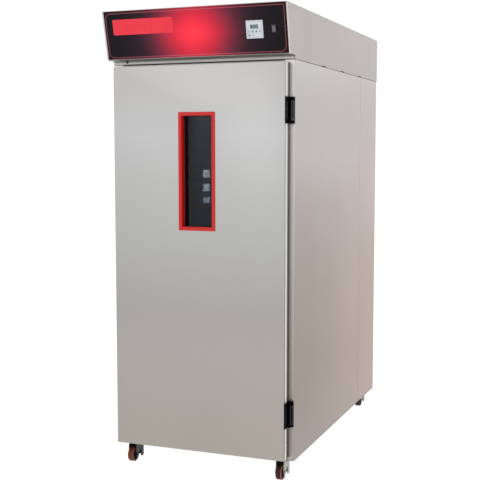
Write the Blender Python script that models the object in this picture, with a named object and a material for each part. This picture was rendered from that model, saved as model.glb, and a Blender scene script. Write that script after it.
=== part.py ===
"""Proofing cabinet on casters: an insulated chamber with tray racks, a hinged door with a window,
a control head with a slanted fascia, and the climate unit behind an air partition.

Lengths are in metres. X runs to the right, Y from the front to the back and Z up from the floor.
The origin is on the floor, under the middle of the cabinet.
"""

import math

import bmesh
import bpy
from mathutils import Matrix, Vector

# Cabinet body
body_width = 0.8316
body_height = 1.6723
body_depth = 1.393
wall = 0.050
sheet = 0.0010
fold_radius = 0.004
throat_depth = 0.018
seam_gap = 0.0020
rear_section_depth = 0.337

# Gaps and overruns shared by all pieces
clearance = 0.0003
cut_over = 0.004

# Door leaf and its inner plug
door_side_reveal = 0.0252
door_thickness = 0.050
door_bottom_drop = 0.0395
door_top_rise = 0.0398
door_edge_radius = 0.003
door_skin_return = 0.022
door_plug_depth = 0.028
door_plug_gap = 0.010
gasket_gap = 0.006
gasket_width = 0.014
gasket_inset = 0.006

# Window in the door
window_width = 0.1378
window_height = 0.4685
window_below_door_top = 0.4466
window_lip_width = 0.0155
window_lip_thickness = 0.0025
window_tube_wall = 0.0015
window_tube_depth = 0.034
glass_thickness = 0.004
inner_glass_setback = 0.002

# Hinges on the right-hand edge of the door
hinge_height = 0.109
hinge_upper_below_door_top = 0.1946
hinge_lower_above_door_bottom = 0.1915
hinge_door_leaf_thickness = 0.0037
hinge_frame_leaf_thickness = 0.010
hinge_frame_leaf_inset = 0.0006
hinge_knuckle_radius = 0.006
hinge_pin_radius = 0.0035
hinge_end_knuckle_length = 0.026
hinge_running_gap = 0.0006
hinge_cover_groove_width = 0.006
hinge_cover_groove_depth = 0.003
hinge_cover_groove_margin = 0.017
hinge_front_setback = 0.0015

# Control head
head_height = 0.2202
head_rear_overhang = 0.0075
head_flange_step = 0.004
head_flange_height = 0.0157
fascia_ahead_of_door = 0.0037
fascia_lean = 0.046
fascia_top_return = 0.030
fascia_foot_return = 0.018
overlay_side_margin = 0.0016
overlay_thickness = 0.0008
overlay_margin = 0.0035
seam_notch_count = 3
seam_notch_first = 0.512
seam_notch_pitch = 0.312
seam_notch_length = 0.050
seam_notch_height = 0.003
head_vent_count = 7
head_vent_side_gap = 0.2358
head_vent_height = 0.007
head_vent_pitch = 0.018
head_vent_lowest = 0.060

# Controller on the fascia
controller_size = 0.072
controller_cutout = 0.067
controller_from_right = 0.1448
controller_up_fascia = 0.1025
controller_bezel_thickness = 0.006
controller_body_depth = 0.052
controller_edge_radius = 0.0015
screen_width = 0.034
screen_height = 0.016
screen_thickness = 0.0016
screen_above_middle = 0.0112
key_width = 0.0110
key_height = 0.0080
key_thickness = 0.0030
key_proud = 0.0008
key_travel = 0.0008
key_pitch = 0.0157
key_upper_row_drop = 0.0075
key_lower_row_drop = 0.0228

# Rocker switch on the fascia
switch_from_right = 0.0638
switch_width = 0.020
switch_height = 0.034
switch_rim = 0.0024
switch_rim_thickness = 0.0022
switch_body_depth = 0.022
rocker_depth = 0.012
rocker_proud = 0.0030
rocker_tilt = math.radians(7.0)
rocker_trunnion_radius = 0.0015
rocker_side_gap = 0.0007

# Tray racks on both sides of the chamber
rack_sheet = 0.0020
rack_pitch = 0.070
rack_first_level = 0.0515
rack_ledge_width = 0.034
rack_ledge_lip = 0.009
rack_front_setback = 0.110
rack_back_setback = 0.030
rack_top_above_last_ledge = 0.050
rack_least_gap_above = 0.130

# Air partition and the fan behind it
climate_space_depth = 0.3190
fan_below_ceiling = 0.2938
fan_hole_radius = 0.090
fan_blade_radius = 0.082
fan_blade_count = 5
fan_blade_width = 0.046
fan_blade_thickness = 0.0020
fan_blade_angle = math.radians(32.0)
fan_hub_radius = 0.020
fan_hub_length = 0.026
fan_hub_setback = 0.008
fan_shaft_radius = 0.004
fan_shaft_gap = 0.0005
motor_radius = 0.042
motor_length = 0.070
motor_bar_thickness = 0.004
motor_bar_height = 0.030
motor_bar_setback = 0.046
motor_bar_reach = 0.135
motor_foot_length = 0.022
return_slot_count = 6
return_slot_margin = 0.1558
return_slot_height = 0.016
return_slot_pitch = 0.030
return_slot_lowest = 0.120
supply_slot_count = 18
supply_slot_width = 0.028
supply_slot_height = 0.010
supply_slot_from_wall = 0.0608

# Evaporator, heater and water pan behind the partition
coil_side_gap = 0.1458
coil_depth = 0.080
coil_height = 0.300
coil_bottom = 0.820
coil_fin_count = 20
coil_fin_thickness = 0.0020
coil_back_thickness = 0.004
coil_tube_radius = 0.006
coil_tube_count = 4
coil_tube_stub = 0.012
heater_tube_radius = 0.0045
heater_height = 0.700
heater_far_gap = 0.2113
heater_bend_radius = 0.030
heater_flange_size = 0.110
heater_flange_thickness = 0.003
pan_side_gap = 0.1558
pan_depth = 0.200
pan_height = 0.070
pan_back_gap = 0.030

# Equipment inside the head
compressor_radius = 0.074
compressor_height = 0.165
compressor_base_width = 0.200
compressor_base_depth = 0.170
compressor_base_thickness = 0.004
compressor_from_back = 0.300
compressor_from_left = 0.2158
condenser_side_gap = 0.2458
condenser_depth = 0.060
condenser_height = 0.175
condenser_from_back = 0.040
board_width = 0.300
board_depth = 0.180
board_thickness = 0.002
board_from_front = 0.260
board_from_right = 0.2358
contactor_width = 0.045
contactor_depth = 0.075
contactor_height = 0.080
transformer_width = 0.070
transformer_height = 0.065
terminal_width = 0.120
terminal_depth = 0.030
terminal_height = 0.028
gland_from_right = 0.1158
gland_above_body = 0.040
gland_radius = 0.010
gland_nut_radius = 0.015
gland_nut_length = 0.008
gland_bore = 0.0055
gland_inner_length = 0.014
gland_outer_length = 0.006

# Casters
caster_height = 0.0915
caster_from_side = 0.0648
caster_from_front = 0.048
caster_from_back = 0.035
caster_trail = 0.030
caster_plate_width = 0.076
caster_plate_depth = 0.062
caster_plate_thickness = 0.003
race_radius = 0.024
race_height = 0.008
kingpin_radius = 0.006
kingpin_head_radius = 0.011
kingpin_head_height = 0.0035
crown_radius = 0.031
crown_thickness = 0.004
crown_bore_gap = 0.0006
wheel_radius = 0.0325
wheel_width = 0.027
tread_depth = 0.007
tread_shoulder = 0.004
core_rim = 0.004
core_web = 0.010
hub_radius = 0.0105
axle_radius = 0.004
axle_gap = 0.0005
fork_gap = 0.0030
fork_sheet = 0.0025
fork_leg_radius = 0.013
fork_front_reach = 0.036
fork_rear_reach = 0.034
fork_lobe_width = 0.024
fork_lobe_clearance = 0.012
fork_lobe_corner = 0.006
fork_notch_height = 0.048
axle_nut_radius = 0.0075
axle_nut_length = 0.004

# How finely round shapes are divided
wheel_steps = 24
round_steps = 20
small_round_steps = 12
fold_steps = 3

# Places worked out from the sizes above
half_width = body_width / 2
opening_half = half_width - wall
fascia_overhang = fascia_ahead_of_door + fascia_lean
overall_depth = fascia_overhang + door_thickness + gasket_gap + body_depth + head_rear_overhang
front_limit = -overall_depth / 2
door_front = front_limit + fascia_overhang
door_back = door_front + door_thickness
body_front = door_back + gasket_gap
body_back = body_front + body_depth
head_back_face = body_back + head_rear_overhang
rear_seam = body_back - rear_section_depth
body_bottom = caster_height
body_top = body_bottom + body_height
head_bottom = body_top + seam_gap
head_top = body_top + head_height
chamber_floor = body_bottom + wall
chamber_ceiling = body_top - wall
liner_back = body_back - wall
skin_inside = half_width - sheet - clearance
door_half = half_width - door_side_reveal
door_bottom = chamber_floor - door_bottom_drop
door_top = chamber_ceiling + door_top_rise
plug_back = door_back + door_plug_depth
plug_half = opening_half - door_plug_gap
plug_bottom = chamber_floor + door_plug_gap
plug_top = chamber_ceiling - door_plug_gap
window_centre_height = door_top - window_below_door_top
window_bottom = window_centre_height - window_height / 2
window_top = window_centre_height + window_height / 2
hinge_upper_centre = door_top - hinge_upper_below_door_top
hinge_lower_centre = door_bottom + hinge_lower_above_door_bottom
rack_height_for_levels = (chamber_ceiling - rack_least_gap_above - rack_top_above_last_ledge
                          - chamber_floor - rack_first_level)
rack_levels = 1 + math.floor(rack_height_for_levels / rack_pitch)
partition_front = liner_back - climate_space_depth
partition_back = partition_front + sheet
fan_height = chamber_ceiling - fan_below_ceiling
controller_across = half_width - controller_from_right
switch_across = half_width - switch_from_right
caster_across = half_width - caster_from_side
compressor_across = compressor_from_left - half_width
board_across = half_width - board_from_right
gland_across = half_width - gland_from_right
coil_width = 2 * (opening_half - coil_side_gap)
pan_width = 2 * (opening_half - pan_side_gap)
condenser_width = 2 * (half_width - condenser_side_gap)
head_vent_width = 2 * (half_width - head_vent_side_gap)


def remove_everything():
    """Empty the scene, so that the model is all that it holds."""
    for thing in list(bpy.data.objects):
        bpy.data.objects.remove(thing, do_unlink=True)


def make_material(name, colour, roughness, metallic):
    """A Principled material in one colour."""
    finish = bpy.data.materials.new(name)
    finish.use_nodes = True
    shader = finish.node_tree.nodes["Principled BSDF"]
    shader.inputs["Base Color"].default_value = (*colour, 1.0)
    shader.inputs["Roughness"].default_value = roughness
    shader.inputs["Metallic"].default_value = metallic
    finish.diffuse_color = (*colour, 1.0)
    return finish


def make_materials():
    """Every finish of the cabinet, by name."""
    return {
        "stainless": make_material("stainless", (0.62, 0.61, 0.60), 0.34, 1.0),
        "liner_steel": make_material("liner_steel", (0.55, 0.56, 0.57), 0.30, 1.0),
        "galvanised": make_material("galvanised", (0.50, 0.51, 0.52), 0.45, 1.0),
        "foam": make_material("foam", (0.85, 0.76, 0.52), 0.90, 0.0),
        "red_frame": make_material("red_frame", (0.72, 0.03, 0.02), 0.35, 0.0),
        "glass": make_material("glass", (0.20, 0.24, 0.28), 0.05, 0.0),
        "black_rubber": make_material("black_rubber", (0.02, 0.02, 0.02), 0.70, 0.0),
        "black_plastic": make_material("black_plastic", (0.012, 0.012, 0.014), 0.30, 0.0),
        "overlay": make_material("overlay", (0.35, 0.01, 0.03), 0.25, 0.0),
        "controller_plastic": make_material("controller_plastic", (0.70, 0.74, 0.80), 0.40, 0.0),
        "screen": make_material("screen", (0.22, 0.28, 0.27), 0.20, 0.0),
        "key_plastic": make_material("key_plastic", (0.62, 0.67, 0.73), 0.45, 0.0),
        "rocker_plastic": make_material("rocker_plastic", (0.42, 0.29, 0.38), 0.30, 0.0),
        "copper": make_material("copper", (0.72, 0.38, 0.24), 0.35, 1.0),
        "aluminium_fins": make_material("aluminium_fins", (0.70, 0.71, 0.72), 0.40, 1.0),
        "dark_steel": make_material("dark_steel", (0.08, 0.08, 0.085), 0.45, 0.6),
        "fan_plastic": make_material("fan_plastic", (0.05, 0.05, 0.055), 0.50, 0.0),
        "zinc": make_material("zinc", (0.45, 0.47, 0.47), 0.38, 1.0),
        "polyurethane": make_material("polyurethane", (0.33, 0.09, 0.03), 0.50, 0.0),
        "wheel_core": make_material("wheel_core", (0.02, 0.02, 0.022), 0.45, 0.0),
    }


def at_axis(across, up, along, axis):
    """The point with two outline coordinates and one along the axis."""
    if axis == "X":
        return Vector((along, across, up))
    if axis == "Y":
        return Vector((across, along, up))
    return Vector((across, up, along))


def add_object(name, shape, finish):
    """Link one finished mesh to the scene, with its faces pointing out."""
    bmesh.ops.recalc_face_normals(shape, faces=shape.faces)
    mesh = bpy.data.meshes.new(name)
    shape.to_mesh(mesh)
    shape.free()
    thing = bpy.data.objects.new(name, mesh)
    thing.data.materials.append(finish)
    bpy.context.collection.objects.link(thing)
    return thing


def prism(name, outline, axis, low, high, finish):
    """An outline carried straight along an axis."""
    shape = bmesh.new()
    corners = [shape.verts.new(at_axis(across, up, low, axis)) for across, up in outline]
    end = shape.faces.new(corners)
    carried = bmesh.ops.extrude_face_region(shape, geom=[end])
    moved = [item for item in carried["geom"] if isinstance(item, bmesh.types.BMVert)]
    bmesh.ops.translate(shape, vec=at_axis(0, 0, high - low, axis), verts=moved)
    return add_object(name, shape, finish)


def block(name, low, high, finish, rounding=0.0, rounded=None, steps=2):
    """A box between two corners; the edges that rounded picks are rounded off."""
    shape = bmesh.new()
    bmesh.ops.create_cube(shape, size=1.0)
    low, high = Vector(low), Vector(high)
    bmesh.ops.scale(shape, vec=high - low, verts=shape.verts)
    bmesh.ops.translate(shape, vec=(low + high) / 2, verts=shape.verts)
    if rounding:
        chosen = [edge for edge in shape.edges if rounded is None or rounded(edge)]
        bmesh.ops.bevel(shape, geom=chosen, offset=rounding, segments=steps, profile=0.5,
                        affect="EDGES")
    return add_object(name, shape, finish)


def circle_outline(radius, steps, centre=(0.0, 0.0)):
    """Points on a circle, with flats at the bottom and the top."""
    turn = 2 * math.pi / steps
    return [(centre[0] + radius * math.sin(turn * (index + 0.5)),
             centre[1] - radius * math.cos(turn * (index + 0.5))) for index in range(steps)]


def rod(name, centre, radius, axis, low, high, finish, steps=round_steps):
    """A straight round bar; centre holds the two outline coordinates."""
    return prism(name, circle_outline(radius, steps, centre), axis, low, high, finish)


def turned(name, profile, axis, centre, finish, steps=round_steps):
    """A closed profile of (radius, along) points turned once about an axis through centre.

    The first point of the profile is turned so that a flat lies at the bottom.
    """
    shape = bmesh.new()
    half_turn = math.pi / steps
    line = {"X": Vector((1, 0, 0)), "Y": Vector((0, 1, 0)), "Z": Vector((0, 0, 1))}[axis]
    start = Matrix.Rotation(half_turn, 3, line)
    out = {"X": Vector((0, 0, -1)), "Y": Vector((0, 0, -1)), "Z": Vector((0, -1, 0))}[axis]
    points = [shape.verts.new(start @ (out * radius) + line * along) for radius, along in profile]
    edges = [shape.edges.new((points[index - 1], points[index])) for index in range(len(points))]
    bmesh.ops.spin(shape, geom=points + edges, cent=(0, 0, 0), axis=line, angle=2 * math.pi,
                   steps=steps, use_merge=True, use_duplicate=False)
    bmesh.ops.remove_doubles(shape, verts=shape.verts, dist=clearance / 10)
    bmesh.ops.translate(shape, vec=Vector(centre), verts=shape.verts)
    return add_object(name, shape, finish)


def tube(name, points, radius, finish, steps=8):
    """A closed round tube along a list of points."""
    shape = bmesh.new()
    rings = []
    up = Vector((0, 0, 1))
    for index, point in enumerate(points):
        before = points[max(index - 1, 0)]
        after = points[min(index + 1, len(points) - 1)]
        along = (after - before).normalized()
        side = along.cross(up).normalized() if abs(along.dot(up)) < 0.9 else Vector((1, 0, 0))
        top = side.cross(along)
        ring = []
        for step in range(steps):
            angle = 2 * math.pi * step / steps
            ring.append(shape.verts.new(point + radius * (math.cos(angle) * side + math.sin(angle) * top)))
        rings.append(ring)
    for first, second in zip(rings, rings[1:]):
        for step in range(steps):
            near = (step + 1) % steps
            shape.faces.new((first[step], first[near], second[near], second[step]))
    shape.faces.new(rings[0])
    shape.faces.new(rings[-1])
    return add_object(name, shape, finish)


def fold_outline(points, metal_side, thickness=sheet, radius=fold_radius):
    """Outline of a sheet whose face follows points, with round bends.

    metal_side is 1 where the metal lies on the left of the walk and -1 on the right.
    """
    points = [Vector(point) for point in points]
    face, back = [], []
    for index, point in enumerate(points):
        ahead = (points[min(index + 1, len(points) - 1)] - points[min(index, len(points) - 2)]).normalized()
        behind = (points[max(index, 1)] - points[max(index - 1, 0)]).normalized()
        left = Vector((-behind.y, behind.x))
        if index in (0, len(points) - 1):
            face.append(point)
            back.append(point + left * (metal_side * thickness))
            continue
        turn = math.atan2(behind.x * ahead.y - behind.y * ahead.x, behind.dot(ahead))
        inward = left * math.copysign(1.0, turn)
        start = point - behind * (radius * math.tan(abs(turn) / 2))
        centre = start + inward * radius
        for step in range(fold_steps + 1):
            spin = Matrix.Rotation(turn * step / fold_steps, 2)
            spot = centre + spin @ (start - centre)
            face.append(spot)
            back.append(spot + (spin @ left) * (metal_side * thickness))
    return [tuple(spot) for spot in face + back[::-1]]


def combine(target, tool, operation):
    """Join a tool to a target, or cut it from it, and keep the tool out of the model."""
    step = target.modifiers.new(tool.name, "BOOLEAN")
    step.operation = operation
    step.solver = "EXACT"
    step.object = tool
    tool.hide_render = True
    tool.display_type = "WIRE"
    if tool.parent is None and target.parent is not None:
        tool.parent = target.parent
        tool.matrix_parent_inverse = target.matrix_parent_inverse
    return target


def cut(target, *tools):
    """Cut each tool out of the target."""
    for tool in tools:
        combine(target, tool, "DIFFERENCE")
    return target


def cut_block(target, name, first, second, finish):
    """Cut a box out of the target; its two corners may be given in any order."""
    low = [min(pair) for pair in zip(first, second)]
    high = [max(pair) for pair in zip(first, second)]
    return cut(target, block(name, low, high, finish))


def join(target, *tools):
    """Join each tool to the target as one solid."""
    for tool in tools:
        combine(target, tool, "UNION")
    return target


def ring(name, outer, inner, low, high, finish):
    """A rectangular frame in the XZ plane; outer and inner are (half width, bottom, top)."""
    body = block(name, (-outer[0], low, outer[1]), (outer[0], high, outer[2]), finish)
    hole = block(f"{name}_hole", (-inner[0], low - cut_over, inner[1]),
                 (inner[0], high + cut_over, inner[2]), finish)
    return cut(body, hole)


def triangulate(*things):
    """Divide every face of the finished pieces into triangles."""
    for thing in things:
        thing.modifiers.new("triangles", "TRIANGULATE")


def pivot(name, place, turn=(0.0, 0.0, 0.0)):
    """An empty that stands on a joint's axis."""
    mark = bpy.data.objects.new(name, None)
    mark.location = place
    mark.rotation_euler = turn
    bpy.context.collection.objects.link(mark)
    return mark


def carry(mark, *things):
    """Hang finished pieces on a pivot without moving them."""
    rest = Matrix.LocRotScale(mark.location, mark.rotation_euler, None)
    for thing in things:
        thing.parent = mark
        thing.matrix_parent_inverse = rest.inverted()
        for step in thing.modifiers:
            tool = getattr(step, "object", None)
            if tool is not None and tool.parent is None:
                tool.parent = mark
                tool.matrix_parent_inverse = rest.inverted()


def build_body(finish):
    """Outer sheets, foam and liner of the insulated body."""
    for name, side in (("right", 1), ("left", -1)):
        walk = [(side * half_width, rear_seam - seam_gap / 2),
                (side * half_width, body_front),
                (side * opening_half, body_front),
                (side * opening_half, body_front + throat_depth)]
        prism(f"side_panel_{name}", fold_outline(walk, -side), "Z", body_bottom, body_top,
              finish["stainless"])

    walk = [(half_width, rear_seam + seam_gap / 2), (half_width, body_back),
            (-half_width, body_back), (-half_width, rear_seam + seam_gap / 2)]
    prism("rear_shell", fold_outline(walk, 1), "Z", body_bottom, body_top, finish["stainless"])

    pan_back = body_back - sheet - clearance
    lip_half = opening_half + fold_radius
    throat_end = body_front + throat_depth + clearance
    for name, level, throat, metal_side in (("base_pan", body_bottom, chamber_floor, 1),
                                            ("roof_pan", body_top, chamber_ceiling, -1)):
        walk = [(body_front + throat_depth, throat), (body_front, throat),
                (body_front, level), (pan_back - fold_radius, level)]
        pan = prism(name, fold_outline(walk, metal_side), "X", -skin_inside, skin_inside,
                    finish["stainless"])
        low, high = min(level, throat) - cut_over, max(level, throat) + cut_over
        plate = level + metal_side * (sheet + clearance)
        beyond = throat + metal_side * cut_over
        for label, side in (("right", 1), ("left", -1)):
            panel = bpy.data.objects[f"side_panel_{label}"]
            far = side * (half_width + cut_over)
            cut_block(pan, f"{name}_lip_notch_{label}", (side * lip_half, body_front - cut_over, low),
                          (far, body_front + fold_radius, high), finish["stainless"])
            cut_block(pan, f"{name}_throat_notch_{label}",
                          (side * (opening_half - clearance), body_front + fold_radius, plate),
                          (far, throat_end, beyond), finish["stainless"])
            cut_block(panel, f"{name}_panel_notch_{label}",
                          (side * (opening_half - cut_over), body_front - cut_over,
                           throat + metal_side * clearance),
                          (side * (lip_half + clearance), throat_end, level - metal_side * cut_over),
                          finish["stainless"])

    liner_front = body_front + throat_depth + clearance
    liner = block("inner_liner", (-opening_half - sheet, liner_front, chamber_floor - sheet),
                  (opening_half + sheet, liner_back + sheet, chamber_ceiling + sheet),
                  finish["liner_steel"])
    cut(liner, block("liner_space", (-opening_half, liner_front - cut_over, chamber_floor),
                     (opening_half, liner_back, chamber_ceiling), finish["liner_steel"]))

    foam_front = body_front + fold_radius + clearance
    foam_inner = opening_half + sheet + clearance
    foam = block("insulation", (-skin_inside, foam_front, body_bottom + sheet + clearance),
                 (skin_inside, body_back - fold_radius - clearance, body_top - sheet - clearance),
                 finish["foam"])
    cut(foam, block("insulation_space",
                    (-foam_inner, foam_front - cut_over, chamber_floor - sheet - clearance),
                    (foam_inner, liner_back + sheet + clearance, chamber_ceiling + sheet + clearance),
                    finish["foam"]))


def rack_outline(side):
    """Side rack seen from the front: an upright with one lipped ledge at each level."""
    outside = opening_half - clearance
    inside = outside - rack_sheet
    tip = inside - rack_ledge_width
    lowest = chamber_floor + clearance
    levels = [chamber_floor + rack_first_level + rack_pitch * index for index in range(rack_levels)]
    highest = levels[-1] + rack_top_above_last_ledge
    outline = [(outside, lowest), (outside, highest), (inside, highest)]
    for level in reversed(levels):
        outline += [(inside, level), (tip, level), (tip, level - rack_ledge_lip),
                    (tip + rack_sheet, level - rack_ledge_lip), (tip + rack_sheet, level - rack_sheet),
                    (inside, level - rack_sheet)]
    outline.append((inside, lowest))
    return [(side * across, up) for across, up in outline]


def build_racks(finish):
    """Tray racks, one on each side wall, that stand on the chamber floor."""
    front = door_front + rack_front_setback
    back = partition_front - rack_back_setback
    for name, side in (("right", 1), ("left", -1)):
        prism(f"tray_rack_{name}", rack_outline(side), "Y", front, back, finish["liner_steel"])


def build_partition(finish):
    """Air partition with the fan's hole and the supply and return slots."""
    panel = block("air_partition",
                  (-opening_half + clearance, partition_front, chamber_floor + clearance),
                  (opening_half - clearance, partition_back, chamber_ceiling - clearance),
                  finish["liner_steel"])
    low, high = partition_front - cut_over, partition_back + cut_over
    cut(panel, rod("fan_hole", (0, fan_height), fan_hole_radius, "Y", low, high,
                   finish["liner_steel"], 2 * round_steps))
    return_half = opening_half - return_slot_margin
    for index in range(return_slot_count):
        level = chamber_floor + return_slot_lowest + return_slot_pitch * index
        cut(panel, block(f"return_slot_{index}", (-return_half, low, level),
                         (return_half, high, level + return_slot_height),
                         finish["liner_steel"]))
    for index in range(supply_slot_count):
        level = chamber_floor + rack_first_level + rack_pitch * (index + 0.5)
        for label, side in (("right", 1), ("left", -1)):
            middle = side * (opening_half - supply_slot_from_wall)
            cut(panel, block(f"supply_slot_{label}_{index}",
                             (middle - supply_slot_width / 2, low, level),
                             (middle + supply_slot_width / 2, high, level + supply_slot_height),
                             finish["liner_steel"]))


def build_fan(finish):
    """Fan motor on its bar behind the partition, and the axial fan on its shaft."""
    foot = partition_back + clearance
    bar = foot + motor_bar_setback
    walk = [(-motor_bar_reach - motor_foot_length, foot), (-motor_bar_reach, foot),
            (-motor_bar_reach, bar), (motor_bar_reach, bar),
            (motor_bar_reach, foot), (motor_bar_reach + motor_foot_length, foot)]
    motor = prism("fan_motor", fold_outline(walk, 1, motor_bar_thickness, motor_bar_thickness * 1.5),
                  "Z", fan_height - motor_bar_height / 2, fan_height + motor_bar_height / 2,
                  finish["galvanised"])
    axis = (0, fan_height)
    fan_front = partition_back + fan_hub_setback
    shaft_front = fan_front - clearance
    join(motor,
         rod("motor_can", axis, motor_radius, "Y", bar + motor_bar_thickness / 2,
             bar + motor_length, finish["galvanised"]),
         rod("motor_shaft", axis, fan_shaft_radius, "Y", shaft_front, bar + motor_bar_thickness,
             finish["galvanised"], small_round_steps))

    fan = rod("circulation_fan", axis, fan_hub_radius, "Y", fan_front, fan_front + fan_hub_length,
              finish["fan_plastic"])
    middle = Vector((0, fan_front + fan_hub_length / 2, fan_height))
    root = fan_hub_radius * math.cos(math.pi / round_steps) - fan_blade_thickness
    for index in range(fan_blade_count):
        blade = block(f"fan_blade_{index}",
                      (-fan_blade_width / 2, -fan_blade_thickness / 2, root),
                      (fan_blade_width / 2, fan_blade_thickness / 2, fan_blade_radius),
                      finish["fan_plastic"])
        pitch = Matrix.Rotation(fan_blade_angle, 4, "Z")
        place = Matrix.Rotation(2 * math.pi * index / fan_blade_count, 4, "Y")
        blade.matrix_basis = Matrix.Translation(middle) @ place @ pitch
        join(fan, blade)
    cut(fan, rod("fan_bore", axis, fan_shaft_radius + fan_shaft_gap, "Y", fan_front - cut_over,
                 fan_front + fan_hub_length + cut_over, finish["fan_plastic"], small_round_steps))
    carry(pivot("fan_axis", middle), fan)


def comb_outline(half_length, root, tip, back_thickness, count, thickness):
    """Seen from above: a strip along the root line with fins that reach to the tip line."""
    toward = math.copysign(1.0, tip - root)
    shoulder = root + toward * back_thickness
    pitch = (2 * half_length - thickness) / (count - 1)
    outline = [(half_length, root), (-half_length, root)]
    for index in range(count):
        start = -half_length + pitch * index
        if index:
            outline.append((start, shoulder))
        outline += [(start, tip), (start + thickness, tip)]
        if index < count - 1:
            outline.append((start + thickness, shoulder))
    return outline


def build_climate_unit(finish):
    """Evaporator on the rear wall, heater from the right wall and water pan on the floor."""
    root = liner_back - clearance
    outline = comb_outline(coil_width / 2, root, root - coil_depth, coil_back_thickness,
                           coil_fin_count, coil_fin_thickness)
    coil = prism("evaporator_coil", outline, "Z", coil_bottom, coil_bottom + coil_height,
                 finish["aluminium_fins"])
    for index in range(coil_tube_count):
        level = coil_bottom + coil_height * (index + 0.5) / coil_tube_count
        for label, side in (("right", 1), ("left", -1)):
            near = side * (coil_width / 2 - coil_fin_thickness / 2)
            far = side * (coil_width / 2 + coil_tube_stub)
            join(coil, rod(f"coil_tube_{label}_{index}", (root - coil_depth / 2, level),
                           coil_tube_radius, "X", min(near, far), max(near, far),
                           finish["copper"], small_round_steps))

    wall_face = opening_half - clearance
    middle = (partition_back + liner_back) / 2
    bend = [(math.sin(math.pi * step / 8), math.cos(math.pi * step / 8)) for step in range(9)]
    start = wall_face - heater_flange_thickness / 2
    end = heater_far_gap - opening_half
    route = [Vector((start, middle - heater_bend_radius, heater_height)),
             Vector((start - heater_flange_size, middle - heater_bend_radius, heater_height))]
    for out, along in bend:
        route.append(Vector((end - heater_bend_radius * out, middle - heater_bend_radius * along,
                             heater_height)))
    route += [Vector((start - heater_flange_size, middle + heater_bend_radius, heater_height)),
              Vector((start, middle + heater_bend_radius, heater_height))]
    half = heater_flange_size / 2
    heater = block("heater_element",
                   (wall_face - heater_flange_thickness, middle - half, heater_height - half / 2),
                   (wall_face, middle + half, heater_height + half / 2), finish["copper"])
    join(heater, tube("heater_tube", route, heater_tube_radius, finish["copper"]))

    pan_back = liner_back - pan_back_gap
    pan = block("humidifier_pan", (-pan_width / 2, pan_back - pan_depth, chamber_floor + clearance),
                (pan_width / 2, pan_back, chamber_floor + clearance + pan_height),
                finish["liner_steel"])
    cut(pan, block("pan_space",
                   (-pan_width / 2 + sheet, pan_back - pan_depth + sheet,
                    chamber_floor + clearance + sheet),
                   (pan_width / 2 - sheet, pan_back - sheet,
                    chamber_floor + clearance + pan_height + cut_over), finish["liner_steel"]))


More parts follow.
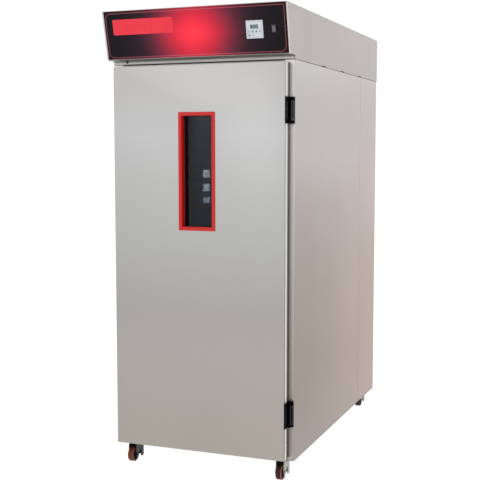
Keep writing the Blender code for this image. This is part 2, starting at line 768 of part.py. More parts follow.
def build_head(finish):
    """Cover, back and fascia panel of the control head."""
    lower_front = body_front - head_flange_step
    fascia_bottom = head_bottom + head_flange_height
    fascia_foot = door_front - fascia_ahead_of_door
    walk = [(-half_width, head_bottom), (-half_width, head_top),
            (half_width, head_top), (half_width, head_bottom)]
    cover = prism("head_cover", fold_outline(walk, -1), "Y", front_limit, head_back_face,
                  finish["stainless"])
    cutter = prism("head_front_cut",
                   [(front_limit - cut_over, head_bottom - cut_over),
                    (lower_front, head_bottom - cut_over),
                    (lower_front, fascia_bottom),
                    (fascia_foot, fascia_bottom),
                    (front_limit, head_top),
                    (front_limit, head_top + cut_over),
                    (front_limit - cut_over, head_top + cut_over)],
                   "X", -half_width - cut_over, half_width + cut_over, finish["stainless"])
    cut(cover, cutter)
    for index in range(seam_notch_count):
        middle = front_limit + seam_notch_first + seam_notch_pitch * index
        cut(cover, block(f"seam_notch_{index}",
                         (-half_width - cut_over, middle - seam_notch_length / 2,
                          head_bottom - cut_over),
                         (half_width + cut_over, middle + seam_notch_length / 2,
                          head_bottom + seam_notch_height), finish["stainless"]))

    panel_top = head_top - sheet - clearance
    share = (panel_top - fascia_bottom) / (head_top - fascia_bottom)
    panel_front = fascia_foot + (front_limit - fascia_foot) * share
    foot = body_top + clearance
    walk = [(body_front + fascia_foot_return, foot), (lower_front, foot),
            (lower_front, fascia_bottom), (fascia_foot, fascia_bottom),
            (panel_front, panel_top), (panel_front + fascia_top_return, panel_top)]
    panel_half = skin_inside - fold_radius
    panel = prism("fascia_panel", fold_outline(walk, -1), "X", -panel_half, panel_half,
                  finish["stainless"])

    overlay_half = panel_half - overlay_side_margin
    tilt = math.atan2(fascia_foot - front_limit, head_top - fascia_bottom)
    slant = math.hypot(fascia_foot - front_limit, head_top - fascia_bottom)
    facing = Matrix.Translation((0, fascia_foot, fascia_bottom)) @ Matrix.Rotation(
        math.pi / 2 + tilt, 4, "X")
    overlay = block("fascia_overlay",
                    (-overlay_half, overlay_margin, clearance),
                    (overlay_half, slant - overlay_margin, clearance + overlay_thickness),
                    finish["overlay"])
    overlay.matrix_basis = facing
    half = controller_cutout / 2 + clearance
    holes = [((controller_across - half, controller_up_fascia - half),
              (controller_across + half, controller_up_fascia + half), "controller_hole")]
    hole_half_width = switch_width / 2 - switch_rim / 2 + clearance
    hole_half_height = switch_height / 2 - switch_rim / 2 + clearance
    holes.append(((switch_across - hole_half_width, controller_up_fascia - hole_half_height),
                  (switch_across + hole_half_width, controller_up_fascia + hole_half_height),
                  "switch_hole"))
    for low, high, name in holes:
        hole = block(name, (*low, -sheet - cut_over), (*high, overlay_thickness + cut_over),
                     finish["overlay"])
        hole.matrix_basis = facing
        cut(overlay, hole)
        cut(panel, hole)
    triangulate(overlay, panel)

    back = block("head_back",
                 (-skin_inside, head_back_face - sheet, head_bottom),
                 (skin_inside, head_back_face, head_top - sheet - clearance - fold_radius),
                 finish["stainless"])
    for index in range(head_vent_count):
        level = body_top + head_vent_lowest + head_vent_pitch * index
        cut(back, block(f"head_vent_{index}",
                        (-head_vent_width / 2, head_back_face - sheet - cut_over, level),
                        (head_vent_width / 2, head_back_face + cut_over, level + head_vent_height),
                        finish["stainless"]))
    gland = (gland_across, body_top + gland_above_body)
    cut(back, rod("gland_hole", gland, gland_radius + clearance, "Y",
                  head_back_face - sheet - cut_over, head_back_face + cut_over, finish["stainless"]))
    outside = head_back_face + clearance - gland_nut_length - sheet - 2 * clearance
    profile = [(gland_bore, outside - gland_inner_length), (gland_radius, outside - gland_inner_length),
               (gland_radius, outside), (gland_nut_radius, outside),
               (gland_nut_radius, outside + gland_nut_length),
               (gland_radius, outside + gland_nut_length), (gland_radius, head_back_face),
               (gland_bore, head_back_face)]
    turned("cable_gland", profile, "Y", (gland[0], 0, gland[1]), finish["black_plastic"])
    return facing


def build_controls(finish, facing):
    """Controller with its screen and keys, and the rocker switch, all on the slanted fascia."""
    face = clearance + overlay_thickness + clearance
    x_mid, y_mid = controller_across, controller_up_fascia
    half = controller_size / 2
    housing = block("controller_housing", (x_mid - half, y_mid - half, face),
                    (x_mid + half, y_mid + half, face + controller_bezel_thickness),
                    finish["controller_plastic"], controller_edge_radius,
                    lambda edge: min(end.co.z for end in edge.verts) > face + clearance)
    half = controller_cutout / 2
    box = block("controller_box", (x_mid - half, y_mid - half, face - controller_body_depth),
                (x_mid + half, y_mid + half, face + controller_bezel_thickness / 2),
                finish["controller_plastic"])
    front = face + controller_bezel_thickness
    housing.matrix_basis = facing
    box.matrix_basis = facing
    join(housing, box)
    screen_mid = y_mid + screen_above_middle
    pocket = block("screen_pocket",
                   (x_mid - screen_width / 2 - clearance, screen_mid - screen_height / 2 - clearance,
                    front - screen_thickness - clearance),
                   (x_mid + screen_width / 2 + clearance, screen_mid + screen_height / 2 + clearance,
                    front + cut_over), finish["controller_plastic"])
    pocket.matrix_basis = facing
    cut(housing, pocket)
    screen = block("controller_screen",
                   (x_mid - screen_width / 2, screen_mid - screen_height / 2, front - screen_thickness),
                   (x_mid + screen_width / 2, screen_mid + screen_height / 2, front - clearance),
                   finish["screen"])
    screen.matrix_basis = facing

    places = [(x_mid + key_pitch * (index - 1.5), y_mid - key_upper_row_drop) for index in range(4)]
    places += [(x_mid + key_pitch * (index - 1.5), y_mid - key_lower_row_drop) for index in range(2)]
    for index, (x_key, y_key) in enumerate(places):
        reach = (key_width / 2 + clearance, key_height / 2 + clearance)
        floor = front + key_proud - key_thickness - key_travel - clearance
        pocket = block(f"key_pocket_{index + 1}", (x_key - reach[0], y_key - reach[1], floor),
                       (x_key + reach[0], y_key + reach[1], front + cut_over),
                       finish["controller_plastic"])
        pocket.matrix_basis = facing
        cut(housing, pocket)
        key = block(f"controller_key_{index + 1}",
                    (-key_width / 2, -key_height / 2, key_proud - key_thickness),
                    (key_width / 2, key_height / 2, key_proud), finish["key_plastic"],
                    key_proud / 2, lambda edge: min(end.co.z for end in edge.verts) > 0, 1)
        key.matrix_basis = facing @ Matrix.Translation((x_key, y_key, front))

    x_mid = switch_across
    outer = (switch_width / 2, switch_height / 2)
    rim = block("switch_bezel", (x_mid - outer[0], y_mid - outer[1], face),
                (x_mid + outer[0], y_mid + outer[1], face + switch_rim_thickness),
                finish["black_plastic"], switch_rim_thickness / 3,
                lambda edge: min(end.co.z for end in edge.verts) > face + clearance, 1)
    rim.matrix_basis = facing
    inner = (outer[0] - switch_rim / 2, outer[1] - switch_rim / 2)
    case = block("switch_case", (x_mid - inner[0], y_mid - inner[1], face - switch_body_depth),
                 (x_mid + inner[0], y_mid + inner[1], face + switch_rim_thickness / 2),
                 finish["black_plastic"])
    case.matrix_basis = facing
    join(rim, case)
    well = (outer[0] - switch_rim, outer[1] - switch_rim)
    axle_height = face - rocker_depth / 3
    space = block("switch_well", (x_mid - well[0], y_mid - well[1], face - rocker_depth - switch_rim),
                  (x_mid + well[0], y_mid + well[1], face + switch_rim_thickness + cut_over),
                  finish["black_plastic"])
    space.matrix_basis = facing
    cut(rim, space)
    seat = rod("switch_seat", (y_mid, axle_height), rocker_trunnion_radius + clearance, "X",
               x_mid - well[0] - switch_rim / 4 - clearance, x_mid + well[0] + switch_rim / 4 + clearance,
               finish["black_plastic"], small_round_steps)
    seat.matrix_basis = facing
    cut(rim, seat)

    half_width_rocker = well[0] - rocker_side_gap
    half_height = well[1] - rocker_side_gap
    top = face + rocker_proud - axle_height
    bottom = -(rocker_depth * 2 / 3 - switch_rim / 2)
    dish = top * 0.72
    outline = [(-half_height, top), (-half_height, 0), (-half_height / 2, bottom),
               (half_height / 2, bottom), (half_height, 0), (half_height, top), (0, dish)]
    shrink = math.cos(rocker_tilt) - math.sin(rocker_tilt) * top / half_height
    outline = [(across * shrink, up) for across, up in outline]
    rocker = prism("switch_rocker", outline, "X", -half_width_rocker, half_width_rocker,
                   finish["rocker_plastic"])
    join(rocker, rod("rocker_trunnion", (0, 0), rocker_trunnion_radius, "X",
                     -well[0] - switch_rim / 4, well[0] + switch_rim / 4,
                     finish["rocker_plastic"], small_round_steps))
    place = facing @ Matrix.Translation((x_mid, y_mid, axle_height))
    tilted = place @ Matrix.Rotation(rocker_tilt, 4, "X")
    rocker.matrix_basis = tilted
    rocker.modifiers[0].object.matrix_basis = tilted
    triangulate(housing, rim, rocker)


def build_head_equipment(finish):
    """Compressor, condenser and electrical board, which stand on the roof pan."""
    deck = body_top + clearance
    x_mid = compressor_across
    y_mid = body_back - compressor_from_back
    base = block("compressor",
                 (x_mid - compressor_base_width / 2, y_mid - compressor_base_depth / 2, deck),
                 (x_mid + compressor_base_width / 2, y_mid + compressor_base_depth / 2,
                  deck + compressor_base_thickness), finish["dark_steel"])
    low = compressor_base_thickness / 2
    waist = compressor_height * 0.55
    profile = [(0, low), (compressor_radius * 0.8, low),
               (compressor_radius, compressor_height * 0.18), (compressor_radius, waist),
               (compressor_radius * 0.92, compressor_height * 0.80),
               (compressor_radius * 0.60, compressor_height * 0.96), (0, compressor_height)]
    join(base, turned("compressor_pot", profile, "Z", (x_mid, y_mid, deck), finish["dark_steel"]))

    root = body_back - condenser_from_back
    outline = comb_outline(condenser_width / 2, root, root - condenser_depth, coil_back_thickness,
                           coil_fin_count, coil_fin_thickness)
    prism("condenser_coil", outline, "Z", deck, deck + condenser_height, finish["aluminium_fins"])

    x_mid = board_across
    y_mid = body_front + board_from_front
    board = block("electrical_board", (x_mid - board_width / 2, y_mid - board_depth / 2, deck),
                  (x_mid + board_width / 2, y_mid + board_depth / 2, deck + board_thickness),
                  finish["galvanised"])
    seat = deck + board_thickness / 2
    left = x_mid - board_width / 2 + terminal_depth
    join(board,
         block("contactor", (left, y_mid, seat),
               (left + contactor_width, y_mid + contactor_depth, deck + contactor_height),
               finish["galvanised"]),
         block("transformer", (left + 2 * contactor_width, y_mid, seat),
               (left + 2 * contactor_width + transformer_width, y_mid + contactor_depth,
                deck + transformer_height), finish["galvanised"]),
         block("terminals", (left, y_mid - 2 * terminal_depth, seat),
               (left + terminal_width, y_mid - terminal_depth, deck + terminal_height),
               finish["galvanised"]))


def build_door(finish):
    """Door leaf: outer skin, foam, inner pan with its plug, window and gasket."""
    seam = door_front + door_skin_return
    tube_outer = window_width / 2 + window_tube_wall
    tube_low = window_bottom - window_tube_wall
    tube_high = window_top + window_tube_wall
    skin = block("door_skin", (-door_half, door_front, door_bottom), (door_half, seam, door_top),
                 finish["stainless"], door_edge_radius,
                 lambda edge: max(end.co.y for end in edge.verts) < door_front + clearance)
    cut(skin,
        block("skin_space", (-door_half + sheet, door_front + sheet, door_bottom + sheet),
              (door_half - sheet, seam + cut_over, door_top - sheet), finish["stainless"]),
        block("skin_window", (-tube_outer - clearance, door_front - cut_over, tube_low - clearance),
              (tube_outer + clearance, seam + cut_over, tube_high + clearance), finish["stainless"]))

    pan_front = seam + clearance
    throat_front = door_front + window_tube_depth + glass_thickness + 2 * clearance
    pan = block("door_inner_pan", (-door_half, pan_front, door_bottom), (door_half, door_back, door_top),
                finish["stainless"])
    join(pan, block("plug", (-plug_half, door_back - sheet, plug_bottom),
                    (plug_half, plug_back, plug_top), finish["stainless"]))
    cut(pan,
        block("pan_space", (-door_half + sheet, pan_front - cut_over, door_bottom + sheet),
              (door_half - sheet, door_back - sheet, door_top - sheet), finish["stainless"]),
        block("plug_space", (-plug_half + sheet, door_back - 2 * sheet, plug_bottom + sheet),
              (plug_half - sheet, plug_back - sheet, plug_top - sheet), finish["stainless"]))
    join(pan, block("window_throat",
                    (-tube_outer, throat_front, tube_low),
                    (tube_outer, plug_back - sheet / 2, tube_high), finish["stainless"]))
    cut(pan, block("throat_space",
                   (-window_width / 2, throat_front - cut_over, window_bottom),
                   (window_width / 2, plug_back + cut_over, window_top), finish["stainless"]))

    foam = block("door_foam",
                 (-door_half + sheet + clearance, door_front + sheet + clearance,
                  door_bottom + sheet + clearance),
                 (door_half - sheet - clearance, door_back - sheet - clearance,
                  door_top - sheet - clearance), finish["foam"])
    join(foam, block("plug_foam",
                     (-plug_half + sheet + clearance, door_back - 2 * sheet,
                      plug_bottom + sheet + clearance),
                     (plug_half - sheet - clearance, plug_back - sheet - clearance,
                      plug_top - sheet - clearance), finish["foam"]))
    cut(foam, block("foam_window",
                    (-tube_outer - clearance, door_front - cut_over, tube_low - clearance),
                    (tube_outer + clearance, plug_back + cut_over, tube_high + clearance),
                    finish["foam"]))

    lip = (window_width / 2 + window_lip_width, window_bottom - window_lip_width,
           window_top + window_lip_width)
    clear = (window_width / 2, window_bottom, window_top)
    lip_front = door_front - clearance - window_lip_thickness
    frame = block("window_frame", (-lip[0], lip_front, lip[1]), (lip[0], door_front - clearance, lip[2]),
                  finish["red_frame"], window_lip_thickness / 3,
                  lambda edge: max(end.co.y for end in edge.verts) < lip_front + clearance, 1)
    join(frame, block("window_tube", (-tube_outer, lip_front + window_lip_thickness / 2, tube_low),
                      (tube_outer, door_front + window_tube_depth, tube_high), finish["red_frame"]))
    cut(frame, block("frame_space", (-clear[0], lip_front - cut_over, clear[1]),
                     (clear[0], door_front + window_tube_depth + cut_over, clear[2]),
                     finish["red_frame"]))
    glass_front = door_front + window_tube_depth + clearance
    outer_glass = block("window_glass_outer", (-tube_outer, glass_front, tube_low),
                        (tube_outer, glass_front + glass_thickness, tube_high), finish["glass"])
    inner_back = plug_back - inner_glass_setback
    inner_glass = block("window_glass_inner",
                        (-clear[0] + clearance, inner_back - glass_thickness, clear[1] + clearance),
                        (clear[0] - clearance, inner_back, clear[2] - clearance), finish["glass"])

    edge_half = door_half - gasket_inset
    gasket = ring("door_gasket",
                  (edge_half, door_bottom + gasket_inset, door_top - gasket_inset),
                  (edge_half - gasket_width, door_bottom + gasket_inset + gasket_width,
                   door_top - gasket_inset - gasket_width),
                  door_back + clearance, body_front - clearance, finish["black_rubber"])
    return [skin, pan, foam, frame, outer_glass, inner_glass, gasket]


def build_hinges(finish):
    """Door and frame leaves of both hinges; the pin is part of the frame leaf."""
    leaf_x = door_half + clearance
    axis_x = leaf_x + hinge_door_leaf_thickness + hinge_running_gap + hinge_knuckle_radius
    plate_back = body_front - clearance
    plate_front = plate_back - hinge_frame_leaf_thickness
    axis_y = plate_front - hinge_running_gap - hinge_knuckle_radius
    plate_left = leaf_x + hinge_door_leaf_thickness + hinge_running_gap
    plate_right = half_width - hinge_frame_leaf_inset
    black = finish["black_plastic"]
    door_leaves = []
    for label, middle in (("upper", hinge_upper_centre), ("lower", hinge_lower_centre)):
        low, high = middle - hinge_height / 2, middle + hinge_height / 2
        inner_low = low + hinge_end_knuckle_length
        inner_high = high - hinge_end_knuckle_length
        leaf = block(f"hinge_door_leaf_{label}", (leaf_x, door_front + hinge_front_setback, low),
                     (leaf_x + hinge_door_leaf_thickness, axis_y + hinge_knuckle_radius, high), black)
        join(leaf,
             block(f"leaf_web_{label}", (leaf_x + hinge_door_leaf_thickness / 2,
                                         axis_y - hinge_knuckle_radius / 2, inner_low),
                   (axis_x, axis_y + hinge_knuckle_radius / 2, inner_high), black),
             rod(f"leaf_knuckle_{label}", (axis_x, axis_y), hinge_knuckle_radius, "Z", inner_low,
                 inner_high, black, small_round_steps))
        cut(leaf, rod(f"leaf_bore_{label}", (axis_x, axis_y), hinge_pin_radius + hinge_running_gap,
                      "Z", inner_low - cut_over, inner_high + cut_over, black, small_round_steps))
        door_leaves.append(leaf)

        plate = block(f"hinge_frame_leaf_{label}", (plate_left, plate_front, low),
                      (plate_right, plate_back, high), black)
        for end, bottom, top in (("top", inner_high + hinge_running_gap, high),
                                 ("bottom", low, inner_low - hinge_running_gap)):
            join(plate,
                 block(f"plate_web_{label}_{end}", (axis_x - hinge_knuckle_radius / 2, axis_y, bottom),
                       (axis_x + hinge_knuckle_radius / 2,
                        plate_front + hinge_frame_leaf_thickness / 2, top), black),
                 rod(f"plate_knuckle_{label}_{end}", (axis_x, axis_y), hinge_knuckle_radius, "Z",
                     bottom, top, black, small_round_steps))
        join(plate, rod(f"plate_pin_{label}", (axis_x, axis_y), hinge_pin_radius, "Z",
                        low + hinge_running_gap, high - hinge_running_gap, black, small_round_steps))
        groove_mid = (axis_x + hinge_knuckle_radius + plate_right) / 2
        cut(plate, block(f"cover_groove_{label}",
                         (groove_mid - hinge_cover_groove_width / 2, plate_front - cut_over,
                          low + hinge_cover_groove_margin),
                         (groove_mid + hinge_cover_groove_width / 2,
                          plate_front + hinge_cover_groove_depth, high - hinge_cover_groove_margin),
                         black))
    return (axis_x, axis_y), door_leaves


def cheek_outline(swivel_y, axle_height, top):
    """Fork cheek seen from the side: a leg to the axle in front and a rounded lobe behind."""
    axle_y = swivel_y - caster_trail
    notch_y = swivel_y + fork_rear_reach - fork_lobe_width
    lobe_back = swivel_y + fork_rear_reach
    outline = [(swivel_y - fork_front_reach, top)]
    first, last = math.radians(190), math.radians(350)
    for step in range(7):
        angle = first + (last - first) * step / 6
        outline.append((axle_y + fork_leg_radius * math.cos(angle),
                        axle_height + fork_leg_radius * math.sin(angle)))
    outline.append((notch_y - fork_lobe_corner, fork_notch_height))
    outline.append((notch_y, fork_notch_height - fork_lobe_corner))
    low = fork_lobe_clearance
    for middle, start in ((notch_y + fork_lobe_corner, 180), (lobe_back - fork_lobe_corner, 270)):
        for step in range(4):
            angle = math.radians(start + 30 * step)
            outline.append((middle + fork_lobe_corner * math.cos(angle),
                            low + fork_lobe_corner + fork_lobe_corner * math.sin(angle)))
    outline.append((lobe_back, top - crown_radius / 2))
    outline.append((swivel_y + crown_radius / 2, top))
    return outline


def build_caster(finish, label, x_mid, swivel_y):
    """One swivel caster: plate with race and kingpin, fork with axle, and the wheel."""
    top = body_bottom - clearance
    plate_low = top - caster_plate_thickness
    race_low = plate_low - race_height
    crown_high = race_low - clearance
    crown_low = crown_high - crown_thickness
    plate = block(f"caster_plate_{label}",
                  (x_mid - caster_plate_width / 2, swivel_y - caster_plate_depth / 2, plate_low),
                  (x_mid + caster_plate_width / 2, swivel_y + caster_plate_depth / 2, top),
                  finish["zinc"])
    head_high = crown_low - clearance
    profile = [(0, plate_low + caster_plate_thickness / 2), (race_radius, plate_low + caster_plate_thickness / 2),
               (race_radius, race_low), (kingpin_radius, race_low), (kingpin_radius, head_high),
               (kingpin_head_radius, head_high), (kingpin_head_radius, head_high - kingpin_head_height),
               (0, head_high - kingpin_head_height)]
    join(plate, turned(f"race_{label}", profile, "Z", (x_mid, swivel_y, 0), finish["zinc"]))

    axle_height = wheel_radius * math.cos(math.pi / wheel_steps)
    axle_y = swivel_y - caster_trail
    inner = wheel_width / 2 + fork_gap
    outer = inner + fork_sheet
    fork = rod(f"caster_fork_{label}", (x_mid, swivel_y), crown_radius, "Z", crown_low, crown_high,
               finish["zinc"], round_steps)
    outline = cheek_outline(swivel_y, axle_height, crown_high - crown_thickness / 4)
    for side_label, side in (("right", 1), ("left", -1)):
        near, far = x_mid + side * inner, x_mid + side * outer
        join(fork, prism(f"cheek_{label}_{side_label}", outline, "X", min(near, far), max(near, far),
                         finish["zinc"]))
    join(fork, rod(f"axle_{label}", (axle_y, axle_height), axle_radius, "X",
                   x_mid - outer - axle_nut_length / 2, x_mid + outer + axle_nut_length / 2,
                   finish["zinc"], small_round_steps))
    for side_label, side in (("right", 1), ("left", -1)):
        near = x_mid + side * (outer - fork_sheet / 2)
        far = x_mid + side * (outer + axle_nut_length)
        join(fork, rod(f"nut_{label}_{side_label}", (axle_y, axle_height), axle_nut_radius, "X",
                       min(near, far), max(near, far), finish["zinc"], 6))
    cut(fork, rod(f"crown_bore_{label}", (x_mid, swivel_y), kingpin_radius + crown_bore_gap, "Z",
                  crown_low - cut_over, crown_high + cut_over, finish["zinc"], round_steps))

    half = wheel_width / 2
    rim_outer = wheel_radius - tread_depth
    bore = axle_radius + axle_gap
    core_half = half - tread_shoulder / 4
    hub_half = half + fork_gap - clearance
    web = core_web / 2
    core = turned(f"wheel_core_{label}",
                  [(bore, -hub_half), (hub_radius, -hub_half), (hub_radius, -web),
                   (rim_outer - core_rim, -web), (rim_outer - core_rim, -core_half),
                   (rim_outer - clearance, -core_half), (rim_outer - clearance, core_half),
                   (rim_outer - core_rim, core_half), (rim_outer - core_rim, web),
                   (hub_radius, web), (hub_radius, hub_half), (bore, hub_half)],
                  "X", (x_mid, axle_y, axle_height), finish["wheel_core"], wheel_steps)
    tread = turned(f"wheel_tread_{label}",
                   [(rim_outer, -half), (wheel_radius - tread_shoulder, -half),
                    (wheel_radius, -half + tread_shoulder), (wheel_radius, half - tread_shoulder),
                    (wheel_radius - tread_shoulder, half), (rim_outer, half)],
                   "X", (x_mid, axle_y, axle_height), finish["polyurethane"], wheel_steps)
    swivel = pivot(f"caster_swivel_{label}", (x_mid, swivel_y, crown_high))
    spin = pivot(f"caster_axle_{label}", (x_mid, axle_y, axle_height))
    carry(swivel, fork)
    carry(spin, core, tread)


def build_cabinet():
    """The whole cabinet."""
    remove_everything()
    finish = make_materials()
    build_body(finish)
    build_racks(finish)
    build_partition(finish)
    build_fan(finish)
    build_climate_unit(finish)
    facing = build_head(finish)
    build_controls(finish, facing)
    build_head_equipment(finish)
    door_pieces = build_door(finish)
    hinge_axis, door_leaves = build_hinges(finish)
    carry(pivot("door_axis", (*hinge_axis, hinge_lower_centre)), *door_pieces, *door_leaves)
    front_swivel = body_front + caster_from_front
    back_swivel = body_back - caster_from_back
    for label, side, swivel_y in (("front_right", 1, front_swivel), ("front_left", -1, front_swivel),
                                  ("rear_right", 1, back_swivel), ("rear_left", -1, back_swivel)):
        build_caster(finish, label, side * caster_across, swivel_y)


build_cabinet()
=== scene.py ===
import math

import bmesh
import bpy
import numpy as np
from mathutils import Euler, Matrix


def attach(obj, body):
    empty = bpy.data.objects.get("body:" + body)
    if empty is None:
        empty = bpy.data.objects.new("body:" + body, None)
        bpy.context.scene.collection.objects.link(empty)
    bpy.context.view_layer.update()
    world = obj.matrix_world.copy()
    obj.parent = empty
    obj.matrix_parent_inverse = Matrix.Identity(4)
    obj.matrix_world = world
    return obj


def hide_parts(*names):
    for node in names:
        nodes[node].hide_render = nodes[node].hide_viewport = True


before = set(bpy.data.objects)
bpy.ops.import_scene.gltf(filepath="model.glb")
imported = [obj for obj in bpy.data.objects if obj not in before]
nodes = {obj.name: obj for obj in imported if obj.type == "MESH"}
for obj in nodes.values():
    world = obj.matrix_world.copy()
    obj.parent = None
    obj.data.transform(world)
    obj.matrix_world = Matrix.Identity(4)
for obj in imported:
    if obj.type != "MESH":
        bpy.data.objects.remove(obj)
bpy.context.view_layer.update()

scene = bpy.context.scene

# Studio
# The cabinet stands on a wide pale floor that runs up into a pale sweep, under large soft lamps.
# The camera has the photograph's long lens, stands a little right of the door and looks slightly down.

camera_data = bpy.data.cameras.new("camera")
camera_data.lens = 73.49
camera_data.sensor_width = 36.0
camera_data.clip_start = 0.05
camera_data.clip_end = 60.0
camera = bpy.data.objects.new("camera", camera_data)
camera.location = (1.6753, -4.4802, 1.3899)
camera.rotation_euler = Euler((math.radians(90 - 5.142), 0.0006, math.radians(21.396)), "XYZ")
scene.collection.objects.link(camera)
scene.camera = camera
scene.view_settings.view_transform = "Standard"


class Wire:
    """One output of a node. Sums, products and comparisons of wires add Math nodes to the material."""

    def __init__(self, finish, socket):
        self.finish = finish
        self.socket = socket

    def math(self, operation, *values):
        return self.finish.node("ShaderNodeMath", {"operation": operation}, dict(enumerate(values)))

    def __add__(self, other):
        return self.math("ADD", self, other)

    def __radd__(self, other):
        return self.math("ADD", other, self)

    def __sub__(self, other):
        return self.math("SUBTRACT", self, other)

    def __rsub__(self, other):
        return self.math("SUBTRACT", other, self)

    def __mul__(self, other):
        return self.math("MULTIPLY", self, other)

    def __rmul__(self, other):
        return self.math("MULTIPLY", other, self)

    def __truediv__(self, other):
        return self.math("DIVIDE", self, other)

    def __pow__(self, other):
        return self.math("POWER", self, other)

    def __rpow__(self, other):
        return self.math("POWER", other, self)

    def __gt__(self, other):
        return self.math("GREATER_THAN", self, other)

    def __abs__(self):
        return self.math("ABSOLUTE", self)

    def least(self, other):
        return self.math("MINIMUM", self, other)

    def most(self, other):
        return self.math("MAXIMUM", self, other)


def linear(*levels):
    """Display levels from 0 to 255 as the linear colour that a shader socket takes."""
    share = np.array(levels) / 255.0
    return tuple(np.where(share <= 0.04045, share / 12.92, ((share + 0.055) / 1.055) ** 2.4)) + (1.0,)


class Finish:
    """A material with its Principled shader; constants and wires are fed to the shader's sockets."""

    def __init__(self, name, **constants):
        self.material = bpy.data.materials.new(name)
        self.material.use_nodes = True
        self.tree = self.material.node_tree
        self.shader = self.tree.nodes["Principled BSDF"]
        self.feed(**constants)

    def node(self, kind, settings=None, sockets=None, output=0):
        made = self.tree.nodes.new(kind)
        for key, value in (settings or {}).items():
            if key == "stops":
                ramp = made.color_ramp
                while len(ramp.elements) < len(value):
                    ramp.elements.new(1.0)
                for element, (place, colour) in zip(ramp.elements, value):
                    element.position = place
                    element.color = colour
            else:
                setattr(made, key, value)
        for key, value in (sockets or {}).items():
            if isinstance(value, Wire):
                self.tree.links.new(value.socket, made.inputs[key])
            else:
                made.inputs[key].default_value = value
        return Wire(self, made.outputs[output])

    def feed(self, **values):
        for key, value in values.items():
            socket = self.shader.inputs[key.replace("_", " ").title().replace("Ior", "IOR")]
            if isinstance(value, Wire):
                self.tree.links.new(value.socket, socket)
            else:
                socket.default_value = value

    def colour(self):
        """The wire that feeds the base colour."""
        return Wire(self, self.shader.inputs["Base Color"].links[0].from_socket)

    def where(self):
        """Object coordinates, as a vector wire."""
        return self.node("ShaderNodeTexCoord", output="Object")

    def axes(self):
        """Object coordinates as three wires."""
        parts = self.node("ShaderNodeSeparateXYZ", {}, {0: self.where()})
        return [Wire(self, parts.socket.node.outputs[index]) for index in range(3)]

    def noise(self, scale, detail=3.0, roughness=0.5):
        """Noise whose grain is stretched by three scales, from 0 to 1."""
        stretched = self.node("ShaderNodeVectorMath", {"operation": "MULTIPLY"},
                              {0: self.where(), 1: scale})
        return self.node("ShaderNodeTexNoise", {},
                         {"Vector": stretched, "Scale": 1.0, "Detail": detail, "Roughness": roughness})

    def mix(self, share, first, second):
        """Two colours mixed by a share."""
        return self.node("ShaderNodeMix", {"data_type": "RGBA"}, {0: share, 6: first, 7: second}, 2)

    def ramp(self, value, stops):
        return self.node("ShaderNodeValToRGB", {"stops": stops}, {0: value})

    def bump(self, height, distance):
        self.feed(normal=self.node("ShaderNodeBump", {}, {"Height": height, "Distance": distance}))


floor_finish = Finish("studio_floor", roughness=0.9, emission_color=(1.0, 1.0, 1.0, 1.0),
                      emission_strength=0.98)
floor_cloud = floor_finish.noise((3, 3, 3))
floor_finish.feed(base_color=floor_finish.mix(floor_cloud, linear(48, 48, 48), linear(52, 52, 52)))


def studio_sweep(s):
    """Floor that runs back flat, then turns up through a quarter circle into a wall."""
    run, radius, rise, front = 16.0, 4.0, 6.0, -9.0
    d = s * (run + radius * math.pi / 2 + rise)
    turn = np.clip((d - run) / radius, 0, math.pi / 2)
    y = front + np.minimum(d, run) + radius * np.sin(turn)
    z = radius * (1 - np.cos(turn)) + np.maximum(d - run - radius * math.pi / 2, 0)
    return y, z


def grid_faces(rows, columns, around=False):
    """Quads of a grid of points; around joins the last column to the first."""
    row = np.arange(rows - 1)[:, None]
    column = np.arange(columns if around else columns - 1)[None, :]
    beside = (column + 1) % columns
    corners = [row * columns + column, row * columns + beside,
               (row + 1) * columns + beside, (row + 1) * columns + column]
    return np.stack([np.broadcast_to(c, (rows - 1, column.size)) for c in corners], -1).reshape(-1, 4)


def make_piece(name, grids, finish, sharp=32.0, around=True, outward=True):
    """A mesh object from grids of points, merged where they meet, smooth except along sharp edges."""
    points, faces, count = [], [], 0
    for grid in grids:
        rows, columns = grid.shape[:2]
        points.append(grid.reshape(-1, 3))
        faces.append(grid_faces(rows, columns, around) + count)
        count += rows * columns
    mesh = bpy.data.meshes.new(name)
    mesh.from_pydata(np.concatenate(points).tolist(), [], np.concatenate(faces).tolist())
    shape = bmesh.new()
    shape.from_mesh(mesh)
    bmesh.ops.remove_doubles(shape, verts=shape.verts, dist=1e-6)
    if outward:
        bmesh.ops.recalc_face_normals(shape, faces=shape.faces)
    shape.to_mesh(mesh)
    shape.free()
    mesh.materials.append(finish.material)
    mesh.shade_smooth()
    mesh.set_sharp_from_angle(angle=math.radians(sharp))
    piece = bpy.data.objects.new(name, mesh)
    scene.collection.objects.link(piece)
    return piece


sweep_x = np.linspace(-14, 14, 15)[None, :]
sweep_y, sweep_z = studio_sweep(np.linspace(0, 1, 41)[:, None])
sweep = np.stack(np.broadcast_arrays(sweep_x, sweep_y, sweep_z), -1)
make_piece("studio_floor", [sweep], floor_finish, around=False, outward=False)

world = bpy.data.worlds.new("studio")
scene.world = world
world.use_nodes = True
world.node_tree.nodes["Background"].inputs["Color"].default_value = (1.0, 1.0, 1.0, 1.0)
world.node_tree.nodes["Background"].inputs["Strength"].default_value = 1.08


def soft_lamp(name, place, aim, size, power):
    """A square area lamp at a place, turned towards a point."""
    lamp = bpy.data.lights.new(name, "AREA")
    lamp.size = size
    lamp.energy = power
    stand = bpy.data.objects.new(name, lamp)
    stand.location = place
    away = np.array(place) - np.array(aim)
    heading = math.atan2(away[1], away[0])
    tilt = math.atan2(math.hypot(away[0], away[1]), away[2])
    stand.rotation_euler = (tilt, 0, heading + math.pi / 2)
    scene.collection.objects.link(stand)


